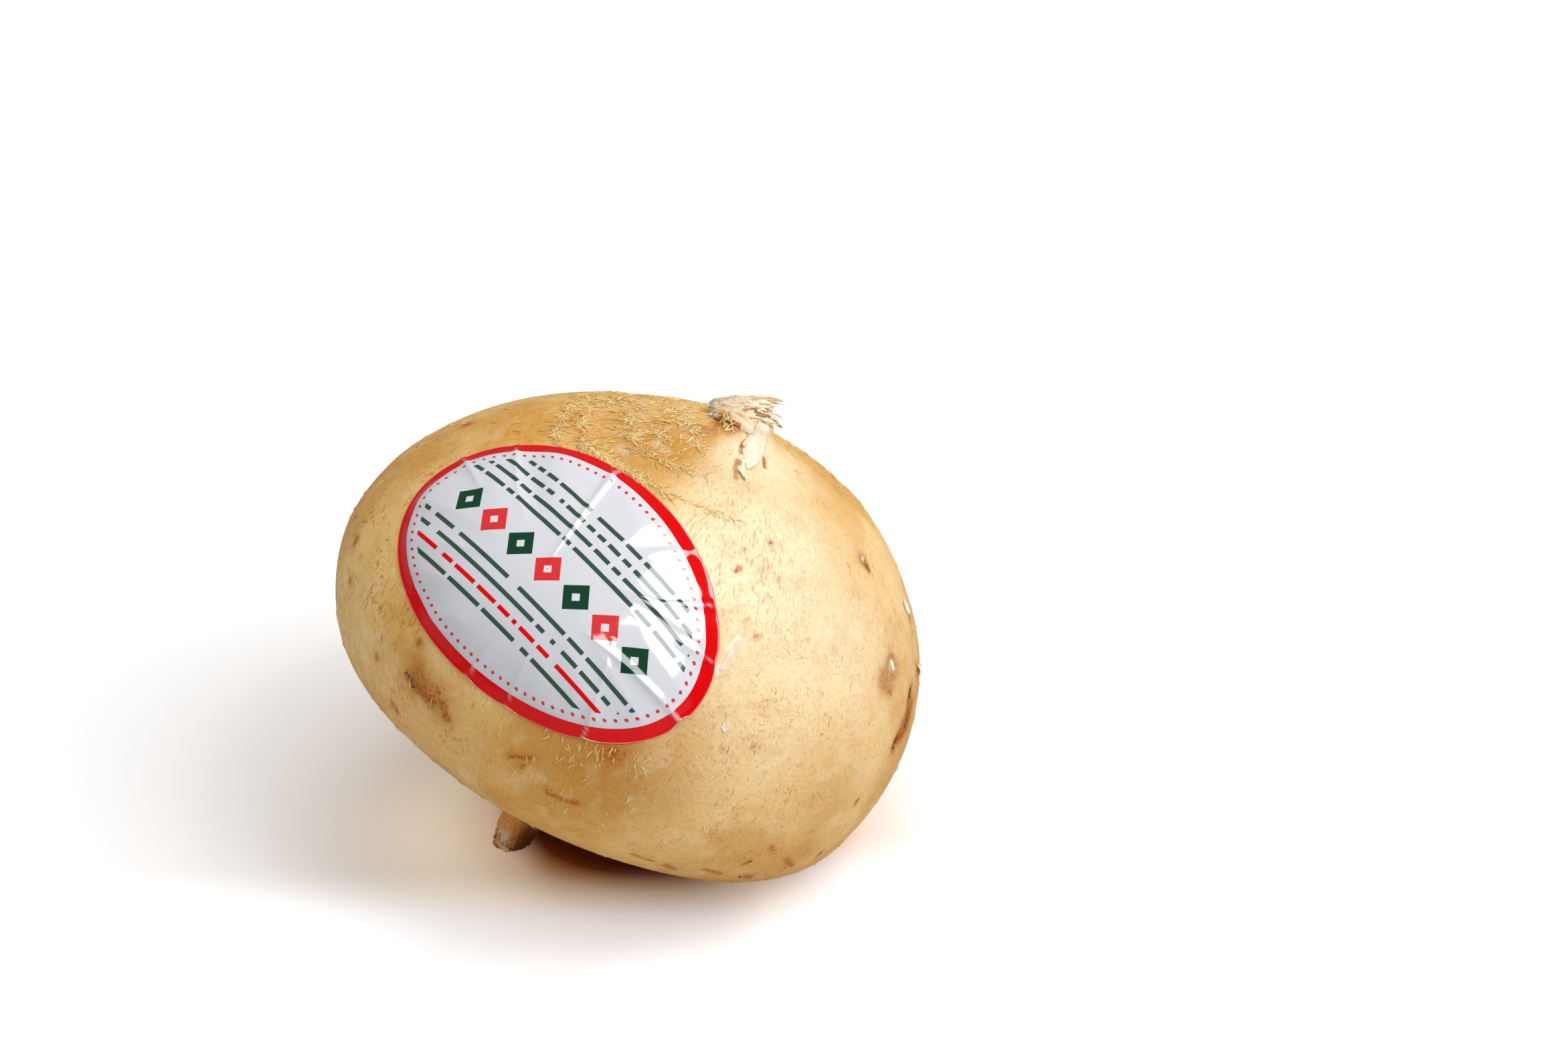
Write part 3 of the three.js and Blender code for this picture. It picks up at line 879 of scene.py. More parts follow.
def stemStrandPiece(spec):
    k = np.linspace(0, 1, spec["strandPoints"])
    share = k[None, :, None]
    allPoints = []
    allFaces = []
    allTints = []

    def add(paths, normals, halfWidth, halfThick, tint):
        points, faces = strands(paths, normals, halfWidth, halfThick, spec["strandSides"])
        first = sum(len(p) for p in allPoints)
        allFaces.extend([[first + i for i in face] for face in faces])
        allPoints.append(points)
        allTints.append(np.repeat(tint.ravel(), spec["strandSides"]))

    for count, start, startSpread, end, endSpread, width, arch, drop in spec["bundles"]:
        low = np.array(start) + chance.uniform(-1, 1, (count, 3)) * startSpread
        high = np.array(end) + chance.uniform(-1, 1, (count, 3)) * endSpread
        middle = (low + high) / 2 + chance.uniform(-0.5, 0.5, (count, 3)) + [0, 0, arch]
        low, middle, high = low[:, None], middle[:, None], high[:, None]
        paths = low * (1 - share) ** 2 + 2 * middle * share * (1 - share) + high * share ** 2
        shake = np.cumsum(chance.normal(0, spec["strandShake"], paths.shape), axis=1)
        paths = paths + shake + neckTop
        paths[..., 2] -= drop * smooth(0.6, 1.0, k) * chance.uniform(0.5, 1.3, (count, 1))
        normals = unit(np.array([0, -0.35, 1.0]) + chance.normal(0, 0.35, (count, 1, 3)) + 0 * paths)
        halfWidth = chance.uniform(*width, (count, 1)) * np.interp(k, *spec["strandTaper"])
        lights, shares = spec["strandLights"]
        light = chance.choice(lights, (count, 1), p=shares)
        add(paths, normals, halfWidth, 0.16 + 0.25 * halfWidth, np.clip(light + 0.2 * (k - 0.6), 0, 1))

    # short torn ends all round the crust
    stubs = spec["stubs"]
    around = chance.uniform(0, fullTurn, (stubs, 1))
    low = np.concatenate([np.cos(around), np.sin(around), chance.uniform(-0.3, 0.5, around.shape)], axis=1)
    low = low * spec["crustSize"] * 0.93
    out = [np.cos(around) + spec["stubLean"], np.sin(around), chance.uniform(-0.9, 0.3, around.shape)]
    out = unit(np.concatenate(out, axis=1))
    length = chance.uniform(*spec["stubLength"], (stubs, 1, 1))
    paths = (low + spec["crustCentre"] + neckTop)[:, None] + out[:, None] * (share * length)
    paths = paths + np.cumsum(chance.normal(0, spec["stubShake"], paths.shape), axis=1)
    halfWidth = chance.uniform(*spec["stubHalfWidth"], (stubs, 1)) * np.interp(k, *spec["stubTaper"])
    light = chance.uniform(0.3, 1.0, (stubs, 1)) + 0 * k
    add(paths, np.array([0, 0, 1.0]) + 0 * paths, halfWidth, 0.6 * halfWidth, light)

    # the flap that hangs over the front of the neck
    flap = np.array(spec["flap"])
    at = np.linspace(0, len(flap) - 1, spec["strandPoints"])
    flap = np.stack([between(at, flap[:, i]) for i in range(4)], axis=-1)[None]
    paths = flap[..., :3] + neckTop
    facingOut = unit(np.array([-0.1, -0.8, 0.6])) + 0 * paths
    add(paths, facingOut, flap[..., 3], spec["flapThick"] + 0 * flap[..., 3], 0.6 + 0.3 * k[None])
    points = np.concatenate(allPoints)
    tint = np.concatenate(allTints)
    material = fibreMaterial("paleStemFibre", spec["tints"])
    return makePiece("stem_strands", points, allFaces, material, {"tint": tint})


crustPiece(stemEnd)
stemStrandPiece(stemEnd)


# flakes of peeled skin: tint, lift, curl, then azimuth, height and half width of places along each
flakes = {
    "thickness": 0.14,
    "rows": 22,
    "columns": 12,
    "ragged": 0.3,
    "tints": [(0.0, "#f7e8d4"), (0.35, "#f0dab8"), (1.0, "#d2a264")],
    "grains": {
        "blush": ("plain", 1.6, 3, 0.45, 0.68),
        "thread": ("plain", (0.3, 0.5, 0.5), 2, 0.55, 0.7),
    },
    "list": [
        (0.15, 0.06, 0.12, [(309, 46.6, 1.4), (303, 44.8, 2.3), (296, 43.0, 2.5), (289, 41.6, 1.6),
                            (284, 40.7, 0.3)]),
        (0.35, 0.12, 0.5, [(281, 42.6, 0.2), (284.5, 43.7, 0.5), (291, 45.4, 0.45), (297, 46.6, 0.3)]),
        (0.3, 0.12, 0.5, [(282, 39.5, 0.25), (279.5, 40.3, 0.6), (281.5, 41.3, 0.2)]),
        (0.1, 0.12, 0.3, [(352.5, 23.0, 0.3), (353.5, 21.8, 0.9), (354.2, 20.6, 0.3)]),
        (0.2, 0.12, 0.4, [(350.5, 12.4, 0.2), (351.5, 11.2, 0.7), (351.8, 10.0, 0.2)]),
        (0.2, 0.1, 0.25, [(286.2, 19.4, 0.2), (285.0, 17.0, 0.5), (283.6, 14.2, 0.15)]),
        (0.1, 0.08, 0.2, [(287.3, 6.0, 0.2), (287.6, 5.0, 0.6), (287.8, 4.3, 0.2)]),
        (0.1, 0.06, 0.2, [(334.0, 16.5, 0.2), (334.7, 15.6, 0.5), (335.2, 14.6, 0.2)]),
        (0.3, 0.12, 0.35, [(230, -54.6, 0.4), (245, -55.2, 1.2), (262, -55.0, 0.5)]),
        (0.6, 0.1, 0.4, [(150, 38.6, 0.2), (158, 38.2, 0.8), (166, 38.4, 0.2)]),
        (0.6, 0.1, 0.4, [(60, 40.2, 0.2), (66, 39.0, 1.1), (70, 37.6, 0.2)]),
        (0.7, 0.1, 0.3, [(100, 19.5, 0.2), (103, 18, 0.8), (104, 16, 0.2)]),
    ],
}


def flakeMaterial(look):
    # the skin's papery inner side: chalky white to buff, quite matt
    material, tree, surface = newMaterial("paperyPeel")
    masks = grainMasks(tree, {"plain": placesInMm(tree)}, look["grains"])
    paper = addNode(tree, "ValToRGB", {0: carried(tree, "tint", "Fac")}, stops=look["tints"])
    colour = layered(tree, paper, [("#e6c6a4", 0.6, "blush"), ("#c49a6e", 0.35, "thread")], masks)
    fillInputs(tree, surface, {"Base Color": colour, "Roughness": 0.8})
    return material


def flakePiece(spec):
    rows = spec["rows"]
    k = np.linspace(0, 1, rows)[:, None]
    s = np.linspace(-1, 1, spec["columns"])[None, :]
    points = []
    faces = []
    tints = []
    for number, (tint, lift, curl, line) in enumerate(spec["list"]):
        at = k[:, 0] * (len(line) - 1)
        values = np.array(line, float)
        degrees, heights, halfWidth = (between(at, values[:, i])[:, None] for i in range(3))
        row, column = gridPlace(degrees, heights)
        rowGap, columnGap = gapsAt(row)
        alongRow = np.gradient(row[:, 0])[:, None] * rowGap
        alongColumn = np.gradient(column[:, 0])[:, None] * columnGap
        edge = 1 + spec["ragged"] * lumps(gathered(4 * k, np.sign(s), number), 0.7, 60)
        offset = s * halfWidth * edge / np.hypot(alongRow, alongColumn)
        place, normal = onSkin(row - alongColumn * offset / rowGap, column + alongRow * offset / columnGap)
        raised = lift + curl * (s ** 2 * smooth(-0.2, 1, -s) + 0.5 * (2 * k - 1) ** 4)
        top = place + (raised + spec["thickness"])[..., None] * normal
        under = place + raised[..., None] * normal
        grid = np.concatenate([top, under[:, ::-1]], axis=1)
        grid[..., 2] = np.maximum(grid[..., 2], lowestPlace)
        first = sum(len(p) for p in points)
        faces += [[first + i for i in f[::-1]] for f in cappedGrid(*grid.shape[:2])]
        points.append(grid.reshape(-1, 3))
        tints.append(tint + 0.15 * lumps(points[-1], 1.5, 61))
    return makePiece("peel_flakes", np.concatenate(points), faces, flakeMaterial(spec),
                     {"tint": np.clip(np.concatenate(tints), 0, 1)})


flakePiece(flakes)


# torn rim of the tail's tip
tailRim = {
    "count": 100,
    "points": 5,
    "sides": 5,
    "height": (-55.6, -52.5),
    "length": (0.5, 1.5),
    "halfWidth": (0.12, 0.3),
    "taper": ([0, 0.3, 1], [0.7, 1, 0.3]),
    "turn": 0.5,
    "bend": 0.15,
    "rise": 0.08,
    "curlUp": 0.35,
    "shadedSideRun": (248, 275),  # azimuths over which they turn dark, a painted shade on the tail's shaded side
    "tints": [(0.0, "#6e3a10"), (0.5, "#c88e48"), (1.0, "#f2dfb8")],
}


def tailRimPiece(spec):
    count = spec["count"]
    row, column = gridPlace(chance.uniform(0, 360, count), chance.uniform(*spec["height"], count))
    heading = math.pi + chance.normal(0, spec["turn"], count)
    k = np.linspace(0, 1, spec["points"])
    rise = spec["rise"] + chance.uniform(0, spec["curlUp"], (count, 1)) * k ** 2
    stride = chance.uniform(*spec["length"], count) / (spec["points"] - 1)
    bend = chance.normal(0, spec["bend"], count)
    paths, normals = walkOnSkin(row, column, heading, bend, stride, spec["points"], rise)
    halfWidth = chance.uniform(*spec["halfWidth"], (count, 1)) * np.interp(k, *spec["taper"])
    points, faces = strands(paths, normals, halfWidth, 0.6 * halfWidth, spec["sides"])
    # painted shade: fibres on one side of the tail are darker
    light = 1 - 0.7 * smooth(*spec["shadedSideRun"], column / root["columns"] * 360)
    tint = np.repeat(chance.uniform(0.1, 0.95, count) * light, spec["points"] * spec["sides"])
    material = fibreMaterial("tornTailFibre", spec["tints"])
    return makePiece("tail_rim_fibres", points, faces, material, {"tint": tint})


tailRimPiece(tailRim)


skinLook = {
    "base": [(0.3, "#e2ac56"), (0.5, "#ebbb6c"), (0.7, "#f3ca80")],
    "bellyWidth": 58,  # of the tubes that the grain is laid on
    "neckWidth": 24,
    "tailWidth": 5,
    # which run of places, size in millimetres, detail, low and high cut
    "grains": {
        "drift": ("plain", 24, 3, 0.3, 0.7),
        "mottle": ("plain", 5, 3, 0.47, 0.7),
        "paleMottle": ("plain", 6.5, 3, 0.5, 0.72),
        "bunch": ("plain", 8, 2, 0.42, 0.66),
        "cloud": ("plain", 1.7, 3, 0.48, 0.72),
        "grit": ("plain", 0.5, 2, 0.5, 0.75),
        "breaks": ("plain", 0.8, 2, 0.42, 0.58),
        "specks": ("plain", 0.55, 2, 0.3, 0.7),
        "bodyFleck": ("belly", (0.4, 0.4, 1.1), 1, 0.63, 0.71),
        "bodyPale": ("belly", (0.42, 0.42, 1.8), 1, 0.64, 0.76),
        "bodySmear": ("belly", (0.9, 0.9, 1.5), 3, 0.56, 0.68),
        "curl": ("plain", 1.9, 2, 0.47, 0.53),
        "neckFleck": ("neck", (0.32, 0.32, 1.6), 1, 0.63, 0.72),
        "crackle": ("neck", (0.3, 0.3, 1.9), 1, 0.56, 0.66),
        "neckPale": ("neck", (0.4, 0.4, 1.8), 1, 0.62, 0.74),
        "tailGrain": ("tail", (0.6, 0.6, 2.4), 3, 0.45, 0.62),
        "tailPits": ("plain", 0.9, 2, 0.58, 0.68),
    },
    # masks that the mesh carries, three to an attribute
    "fields": [("cream", "gold", "bark"), ("brown", "rust", "dull"), ("pale", "milky", "ring"),
               ("neckness", "crackled", "worn"), ("smeared", "curled", "umber")],
    # colour, strength and masks of each layer over the base
    "layers": [
        # deeper gold is partly painted shade, cream partly painted light on the lit front right
        ("#b67812", 0.85, "gold"),
        ("#f7e4bd", 0.95, "cream"),
        ("#c98f45", 0.2, "mottle", "offBark"),
        ("#f8e4ba", 0.24, "paleMottle", "offBark"),
        ("#d8a067", 0.18, "cloud"),
        ("#c08a48", 0.15, "grit"),
        ("#f8e6b8", 0.2, "bodyPale", "offNeck", "offBark"),
        ("#fae9bc", 0.35, "neckPale", "onNeck"),
        ("#c46c0c", 0.85, "bodySmear", "bunch", "smeared"),
        ("#b05c08", 0.95, "bodyFleck", "smeared", "bunch"),
        ("#b47830", 0.26, "bodyFleck", "offNeck", "offBark"),
        ("#a86820", 0.4, "bodyFleck", "bunch", "offNeck", "offBark"),
        ("#a46e28", 0.72, "curlLine", "breaks", "curled", "bunch"),
        ("#b88c50", 0.22, "neckFleck", "onNeck"),
        ("#b07c45", 0.32, "ring", "breaks"),
        ("#c69a64", 0.6, "crackle", "crackled"),
        ("#ead9b8", 0.42, "milky"),
        ("#f0a650", 1.0, "bark"),
        ("#fcc688", 0.5, "bark", "tailGrain"),
        ("#6e3c12", 0.4, "bark", "tailPits"),
        # painted shade on the tail's shaded side
        ("#5e2602", 0.85, "umber"),
        ("#b86a04", 0.96, "rust"),
        ("#8a4400", 0.75, "brown"),
        ("#944600", 0.6, "rustSpecks"),
        ("#ae7840", 0.84, "dull"),
        ("#dcae70", 0.4, "dull", "breaks"),
        ("#4a1400", 0.97, "brownSpecks"),
        ("#faeedc", 0.85, "pale"),
        ("#f2dcbc", 0.7, "worn", "breaks"),
    ],
    # relief of the grains in millimetres
    "relief": [(0.015, "grit"), (-0.008, "bodyFleck"), (0.02, "bodyPale"), (0.03, "neckPale"),
               (-0.008, "neckFleck"), (0.03, "cloud"), (-0.15, "tailPits"), (0.12, "tailGrain")],
    "bump": 0.6,
    "gloss": 0.15,
    "roughness": (0.44, 0.58),
    "barkRoughness": 0.3,  # more than the skin's
}


def skinMaterial(look):
    # dried tuber skin: thin papery cork, satin and waxy where it is smooth; golden tan where it is thicker,
    # deepened as painted shade on the shaded sides and right rim; cream where it is thin, paled as painted
    # light on the lit front right; with brown flecks that run from stem to tail
    material, tree, surface = newMaterial("driedTuberSkin")
    places = {"plain": placesInMm(tree)}
    for name in ("belly", "neck", "tail"):
        width = look[name + "Width"]
        places[name] = scaled(tree, carried(tree, "flow"), (width, width, 1))
    masks = grainMasks(tree, places, look["grains"])
    for names in look["fields"]:
        parts = addNode(tree, "SeparateXYZ", {0: carried(tree, "_".join(names))})
        masks.update(zip(names, parts.outputs))
    masks["onNeck"] = ramp(tree, masks["neckness"], 0.15, 0.45, kind="LINEAR")
    masks["offNeck"] = calc(tree, "SUBTRACT", 1.0, masks["onNeck"])
    masks["offBark"] = ramp(tree, masks["bark"], 0.1, 0.7, 0.0, 1.0, kind="LINEAR")
    for name in ("brown", "rust"):
        # broken into specks that are densest in the middle of the mark
        half = calc(tree, "MULTIPLY", masks["specks"], 0.6)
        spread = calc(tree, "MULTIPLY_ADD", masks[name], 0.6, half)
        masks[name + "Specks"] = ramp(tree, spread, 0.72, 0.95)
    # fine curved lines, where the noise crosses its middle
    past = calc(tree, "SUBTRACT", 1.0, masks["curl"])
    masks["curlLine"] = calc(tree, "MULTIPLY", calc(tree, "MULTIPLY", masks["curl"], past), 4.0)

    base = addNode(tree, "ValToRGB", {0: masks["drift"]}, stops=look["base"])
    colour = layered(tree, base, look["layers"], masks)
    addBump(tree, surface, look["relief"], masks, look["bump"])
    satin, matt = look["roughness"]
    smoothness = ramp(tree, masks["cloud"], 0.0, 1.0, matt, satin, kind="LINEAR")
    rough = calc(tree, "MULTIPLY_ADD", masks["bark"], look["barkRoughness"], smoothness)
    fillInputs(tree, surface, {"Base Color": colour, "Roughness": rough, "Specular IOR Level": look["gloss"]})
    return material


def rootPiece(look):
    tailShadeDown = 1 - zoneRuns["tailShadeShare"] * (1 - smooth(*zoneRuns["tailShadeDown"], height))
    values = {
        **marks,
        "cream": cream,
        "gold": gold,
        "bark": bark,
        "ring": ringNear * (1 - zoneRuns["ringOffCream"] * cream),
        "neckness": nearNeck,
        "crackled": np.clip(zone("crackled").sum(axis=0), 0, 1) * goldPatches,
        "worn": zone("worn")[0],
        "smeared": smeared,
        "curled": curled,
        # painted shade on one side of the tail, strongest towards its tip
        "umber": bark * band(*zoneRuns["tailShadeAround"], bearing) * tailShadeDown,
    }
    attributes = {"flow": tube(1, 1).reshape(-1, 3)}
    for names in look["fields"]:
        attributes["_".join(names)] = gathered(*(values[name] for name in names)).reshape(-1, 3)
    faces = cappedGrid(*skin.shape[:2])
    piece = makePiece("root_skin", skin.reshape(-1, 3), faces, skinMaterial(look), attributes)
    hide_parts("jicama_root")
    return piece


rootPiece(skinLook)


# the sticker's print: an even chain of diamonds between rows of plain bars, and a ring of dots
stickerPrint = {
    "film": "#dadbe0",
    # the grey is painted shade, laid over the white film towards its lower side
    "grey": "#8e9094",
    "filmShadeShare": 0.3,
    "filmShadeRun": (4, -20),  # places across the oval between which painted shade greys the white film
    "red": "#dc0003",
    "green": "#14402c",
    "crack": "#f2d9d6",
    # a thin painted highlight along the film's cut edge
    "paintedEdgeHighlight": "#f4c4bc",
    "rimWidth": 3.0,
    "edgeHighlightWidth": 0.15,
    "rowPitch": 2.5,
    "barHeight": 0.85,
    "redRow": -5,
    "wordCell": 1.0,
    "inked": 0.78,  # share of the cells along a bar that are printed
    "barsFrom": 5.6,  # across the oval, on both sides of its middle
    "barsTo": 15.4,
    "barsClear": 6.2,  # of the edge
    "diamondPitch": 8.0,
    "diamondSize": 3.4,
    "diamondsEachSide": 3.5,
    "heartShare": 0.3,
    "dotPitch": 2.3,
    "dotSize": 0.42,
    "dotsFromEdge": 4.7,
}


def filmMaterial(look):
    # glossy printed film, such as polypropylene: a hard clear gloss over flat inks
    material, tree, surface = newMaterial("glossyLabelFilm")

    def work(operation, *values):
        return calc(tree, operation, *values)

    along, across, edge = addNode(tree, "SeparateXYZ", {0: carried(tree, "filmPlace")}).outputs
    perimeter, crease, _ = addNode(tree, "SeparateXYZ", {0: carried(tree, "filmRound")}).outputs
    aside = work("ABSOLUTE", across)
    rim = work("LESS_THAN", edge, look["rimWidth"])

    # rows of bars broken into words of uneven length
    line = work("DIVIDE", across, look["rowPitch"])
    bar = work("COMPARE", work("FRACT", line), 0.5, look["barHeight"] / look["rowPitch"] / 2)
    cell = addNode(tree, "CombineXYZ", {
        0: work("FLOOR", work("DIVIDE", along, look["wordCell"])), 1: work("FLOOR", line)})
    word = addNode(tree, "TexWhiteNoise", {"Vector": cell}).outputs["Value"]
    inked = work("LESS_THAN", word, look["inked"])
    rows = work("GREATER_THAN", aside, look["barsFrom"])
    rows = work("MULTIPLY", rows, work("LESS_THAN", aside, look["barsTo"]))
    rows = work("MULTIPLY", rows, work("GREATER_THAN", edge, look["barsClear"]))
    bars = work("MULTIPLY", work("MULTIPLY", bar, inked), rows)
    redRow = work("COMPARE", work("FLOOR", line), look["redRow"], 0.5)

    # a chain of diamonds along the middle, red and green by turns, each with a pale heart
    step = work("DIVIDE", along, look["diamondPitch"])
    number = work("ROUND", step)
    offCentre = work("MULTIPLY", work("ABSOLUTE", work("SUBTRACT", step, number)), look["diamondPitch"])
    reachOut = work("ADD", offCentre, aside)
    inChain = work("LESS_THAN", work("ABSOLUTE", number), look["diamondsEachSide"])
    diamond = work("MULTIPLY", work("LESS_THAN", reachOut, look["diamondSize"]), inChain)
    heart = work("LESS_THAN", reachOut, look["diamondSize"] * look["heartShare"])
    odd = work("GREATER_THAN", work("PINGPONG", number, 1.0), 0.5)

    # a ring of red dots inside the rim
    turnOf = work("DIVIDE", perimeter, look["dotPitch"])
    offDot = work("MULTIPLY", work("SUBTRACT", work("FRACT", turnOf), 0.5), look["dotPitch"])
    offRing = work("SUBTRACT", edge, look["dotsFromEdge"])
    fromDot = work("SQRT", work("ADD", work("POWER", offDot, 2.0), work("POWER", offRing, 2.0)))
    dot = work("LESS_THAN", fromDot, look["dotSize"])
    cracked = work("MULTIPLY", crease, 0.75)
    # painted highlight along the cut edge
    cut = work("LESS_THAN", edge, look["edgeHighlightWidth"])
    # painted shade: the film greys towards one side across the oval
    paintedFilmShade = ramp(tree, across, *look["filmShadeRun"], kind="LINEAR")

    colour = layered(tree, toLinear(look["film"]), [
        (look["grey"], look["filmShadeShare"], paintedFilmShade),
        (look["green"], 0.95, bars), (look["red"], 1.0, bars, redRow), (look["red"], 0.95, diamond),
        (look["green"], 1.0, diamond, odd), (look["film"], 1.0, diamond, heart), (look["red"], 0.95, dot),
        (look["red"], 1.0, rim), (look["crack"], 1.0, rim, cracked), (look["paintedEdgeHighlight"], 0.25, cut)])
    fillInputs(tree, surface, {"Base Color": colour, "Roughness": 0.08, "Specular IOR Level": 0.3,
                               "Coat Weight": 0.25, "Coat Roughness": 0.04})
    return material


def stickerPiece(spec, look):
    halfLength = spec["length"] / 2
    halfWidth = spec["width"] / 2
    share = np.linspace(0.004, 1, spec["rings"])[:, None]
    angle = np.linspace(0, fullTurn, spec["spokes"], endpoint=False)[None, :]
    along = share * halfLength * np.cos(angle)
    across = share * halfWidth * np.sin(angle)
    slope = 2 * np.hypot(along / halfLength ** 2, across / halfWidth ** 2)
    edge = (1 - share ** 2) / np.maximum(slope, 1e-3)
    flat = gathered(along, across, 0.0)
    ridge = np.zeros(flat.shape[:2])
    pull = np.zeros(flat.shape[:2])
    for rise, line in spec["creases"]:
        away, far = lineDistance(flat, [(a, b, 0) for a, b in line])
        crease = np.exp(-away / spec["creaseWidth"]) * (1 - far) ** spec["creaseFade"]
        ridge = np.maximum(ridge, spec["creaseGain"] * rise * crease)
        fromEnd = np.linalg.norm(flat - np.array([*line[0], 0]), axis=-1)
        pull = np.maximum(pull, spec["pullGain"] * rise * np.exp(-(fromEnd / spec["pullWidth"]) ** 2))
    rim = np.stack([halfLength * np.cos(angle[0]), halfWidth * np.sin(angle[0])], axis=-1)
    steps = np.linalg.norm(np.roll(rim, -1, axis=0) - rim, axis=-1)
    perimeter = np.concatenate([[0], np.cumsum(steps)[:-1]])[None, :]
    along = along * (1 - spec["edgePull"] * pull)
    across = across * (1 - spec["edgePull"] * pull)
    distance = np.hypot(along, across)
    bend = distance / spec["bend"]
    direction = (np.cos(bend)[..., None] * filmNormal
                 + (np.sin(bend) * along / distance)[..., None] * filmLong
                 + (np.sin(bend) * across / distance)[..., None] * filmCross)
    origin = Vector(bendCentre * mm)
    hits = [smoothSkin.ray_cast(origin, Vector(d)) for d in direction.reshape(-1, 3)]
    bare = np.array([h[0] for h in hits]).reshape(direction.shape) / mm
    wave = spec["waveHeight"] * (1 + lumps(flat, spec["waveSize"], 70)) * (1 - smooth(0.9, 1, share))
    fan = gathered(2 * np.cos(angle), 2 * np.sin(angle), 0.6 * share)
    facets = 1 - np.abs(lumps(fan, spec["pleatSize"], 72))
    pleats = spec["pleatHeight"] * facets * band(*spec["pleatFade"], share)
    under = bare + (spec["lift"] + wave + pleats + ridge)[..., None] * direction
    top = under + spec["thickness"] * direction
    spokes = spec["spokes"]
    count = under.shape[0] * under.shape[1]
    last = count - spokes
    faces = gridFaces(*top.shape[:2]) + [f[::-1] for f in gridFaces(*top.shape[:2], first=count)]
    faces += [[last + i, count + last + i, count + last + (i + 1) % spokes, last + (i + 1) % spokes]
              for i in range(spokes)]
    faces += [list(range(spokes)), [count + i for i in range(spokes)][::-1]]
    place = gathered(flat[..., 0], flat[..., 1], edge).reshape(-1, 3)
    extra = gathered(perimeter, np.clip(ridge * 2.2 - 0.75, 0, 1), 0.0).reshape(-1, 3)
    piece = makePiece("oval_sticker_film", np.concatenate([top.reshape(-1, 3), under.reshape(-1, 3)]), faces,
                      filmMaterial(look),
                      {"filmPlace": np.tile(place, (2, 1)), "filmRound": np.tile(extra, (2, 1))})
    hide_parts("oval_sticker")
    return piece


stickerPiece(sticker, stickerPrint)


studio = {
    "floorSize": 6.0,
    # painted shadow: under the root, well inside its shadow, the floor's own colour turns warm and dark
    "paintedShadowColours": [(0.0, "#5a2604"), (0.16, "#6e3208"), (0.23, "#8c4818"), (0.3, "#d8a26a"),
                     (0.4, "#f6e0c4"), (0.6, "#f8efe3"), (1.0, "#f6f7fa")],
    "shadeRun": (0.009, 0.045),  # distances from the middle of that shadow
    "squeeze": (0.75, 1, 1),
    "middle": (-0.00225, 0.0015, 0),
    # painted light that only the camera sees, lifting the floor and the rim of the root's shadow: runs of
    # places over which it comes in, and how much
    "around": (0.02, 0.035, 0.12),
    "toBack": (-0.004, -0.02, 0.25),
    "toRight": (0.008, 0.03),
    "byTail": (0.034, 0.0, 0.2),
    "tailPlace": (-0.032, -0.005, 0),
    "toLeft": (-0.02, -0.028),
    "leftSlant": (1, 0.35, 0),
    "front": (-0.016, -0.036),
    "frontRun": (0.008, 0.026, 0.096, 0.32),
    # and that painted light is warm near the root, cool in front and bluish on the right
    "glowTints": ("#fff4e0", "#f0f8ff", "#bcdcff"),
    "coolRun": (-0.018, -0.034),
    "bluishRun": (0.024, 0.042),
    "inFilm": ("#5c5c5c", 0.75),  # the floor is dimmer in the film's gloss
    "skyStrength": 0.535,
    "skyInGloss": 0.12,
    "skyRise": (0.05, 0.7, 1.25, 0.15),  # heights, then strengths overhead and at the horizon
    "lampDistance": 1.25,
    # soft lamps: direction from the root, size and power
    "lamps": {"softKey": ((0.57, -0.22, 0.77), 0.8, 8.8), "softTop": ((0.1, 0.12, 0.95), 0.7, 3.0),
              "glossyWindow": ((0.43, -0.2, 0.88), 0.95, 42.0)},
    "glossOnly": "glossyWindow",  # the only one that shows in the gloss of the film
}


def floorMaterial(look):
    # matt white paper, with a painted warm shadow under the root and painted light that only the camera sees
    material, tree, surface = newMaterial("palePaper")
    place = addNode(tree, "TexCoord").outputs["Object"]
    right, back, _ = addNode(tree, "SeparateXYZ", {0: place}).outputs
    ray = addNode(tree, "LightPath").outputs

    def measured(operation, vector, other=(0, 0, 0)):
        return addNode(tree, "VectorMath", {0: vector, 1: other}, operation=operation).outputs["Value"]

    squeezed = addNode(tree, "VectorMath", {0: place, 1: look["squeeze"], 2: look["middle"]},
                       operation="MULTIPLY_ADD")
    fromMiddle = measured("LENGTH", squeezed.outputs[0])
    # painted shadow: the floor's colour darkens and warms towards the middle of the root's shadow
    shade = ramp(tree, fromMiddle, *look["shadeRun"], kind="LINEAR")
    paper = addNode(tree, "ValToRGB", {0: shade}, stops=look["paintedShadowColours"])
    paper = layered(tree, paper, [(*look["inFilm"], ray["Is Glossy Ray"])])

    # painted light, seen only by the camera, that lifts the floor and parts of the root's shadow
    onRight = ramp(tree, right, *look["toRight"], ramp(tree, back, *look["toBack"]))
    byTail = ramp(tree, measured("DISTANCE", place, look["tailPlace"]), *look["byTail"])
    onLeft = ramp(tree, measured("DOT_PRODUCT", place, look["leftSlant"]), *look["toLeft"], byTail)
    glow = calc(tree, "ADD", ramp(tree, fromMiddle, *look["around"]), onRight)
    glow = calc(tree, "ADD", glow, onLeft)
    inFront = ramp(tree, right, *look["frontRun"])
    glow = calc(tree, "MULTIPLY_ADD", ramp(tree, back, *look["front"]), inFront, glow)
    warm, cool, bluish = look["glowTints"]
    tint = layered(tree, toLinear(warm), [
        (cool, ramp(tree, back, *look["coolRun"])), (bluish, ramp(tree, right, *look["bluishRun"]))])
    fillInputs(tree, surface, {
        "Base Color": paper, "Roughness": 0.9, "Specular IOR Level": 0.1, "Emission Color": tint,
        "Emission Strength": calc(tree, "MULTIPLY", ray["Is Camera Ray"], glow)})
    return material


bpy.ops.mesh.primitive_plane_add(size=studio["floorSize"])
floor = bpy.context.object
floor.name = "paleFloor"
floor.data.materials.append(floorMaterial(studio))

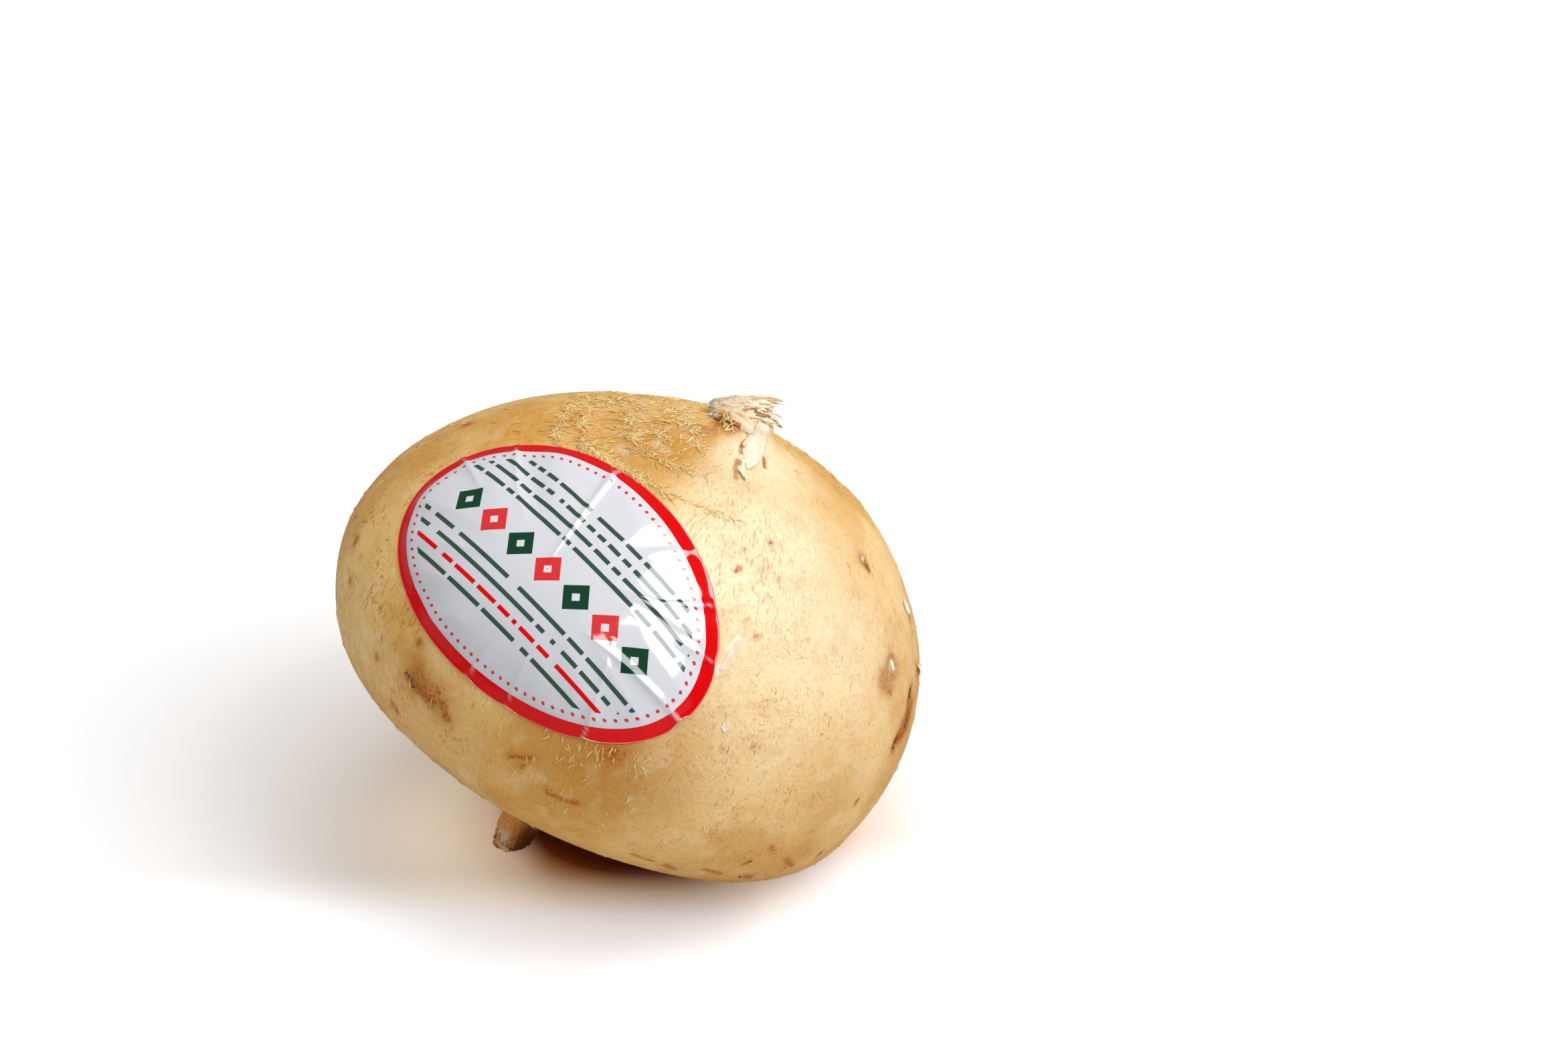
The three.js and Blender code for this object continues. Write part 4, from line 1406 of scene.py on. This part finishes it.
for name, (direction, size, power) in studio["lamps"].items():
    light = bpy.data.lights.new(name, "AREA")
    light.shape = "SQUARE"
    light.size = size
    light.energy = power
    lamp = shown(name, light)
    towards = Vector(direction).normalized()
    lamp.location = towards * studio["lampDistance"]
    lamp.rotation_euler = towards.to_track_quat("Z", "Y").to_euler()
    lamp.visible_glossy = name == studio["glossOnly"]
    lamp.visible_diffuse = name != studio["glossOnly"]

# the sky is brighter overhead than at the horizon, and plain white where the camera sees it
world = bpy.data.worlds.new("paleStudio")
bpy.context.scene.world = world
world.use_nodes = True
tree = world.node_tree
tree.nodes.clear()
parts = addNode(tree, "SeparateXYZ", {0: addNode(tree, "TexCoord").outputs["Generated"]})
overhead = ramp(tree, parts.outputs[2], *studio["skyRise"], kind="LINEAR")
dim = calc(tree, "MULTIPLY", overhead, studio["skyStrength"])
ray = addNode(tree, "LightPath").outputs
faint = ramp(tree, ray["Is Glossy Ray"], 0.0, 1.0, studio["skyInGloss"], dim, kind="LINEAR")
strength = ramp(tree, ray["Is Camera Ray"], 0.0, 1.0, 1.0, faint, kind="LINEAR")
sky = addNode(tree, "Background", {"Color": (1, 1, 1, 1), "Strength": strength})
addNode(tree, "OutputWorld", {"Surface": sky.outputs[0]})
print("floor, lamps and sky done")

cameraPlace = {
    "lens": 101.2,
    "elevation": 33,
    "distance": 0.8456,  # from the point that it looks at
    "aimRight": 0.0303,
    "aimUp": 0.0244,  # above the middle of the object's box
}
camera = shown("camera", bpy.data.cameras.new("camera"))
camera.data.lens = cameraPlace["lens"]
camera.data.sensor_width = 36
camera.data.clip_start = 0.01
tilt = math.radians(cameraPlace["elevation"])
middle = (cadBox[0] + cadBox[1]) / 2
lookAt = Vector((middle.x + cameraPlace["aimRight"], middle.y, middle.z + cameraPlace["aimUp"]))
camera.location = lookAt + cameraPlace["distance"] * Vector((0, -math.cos(tilt), math.sin(tilt)))
camera.rotation_euler = (math.pi / 2 - tilt, 0, 0)
bpy.context.scene.camera = camera
bpy.context.scene.view_settings.view_transform = "Standard"
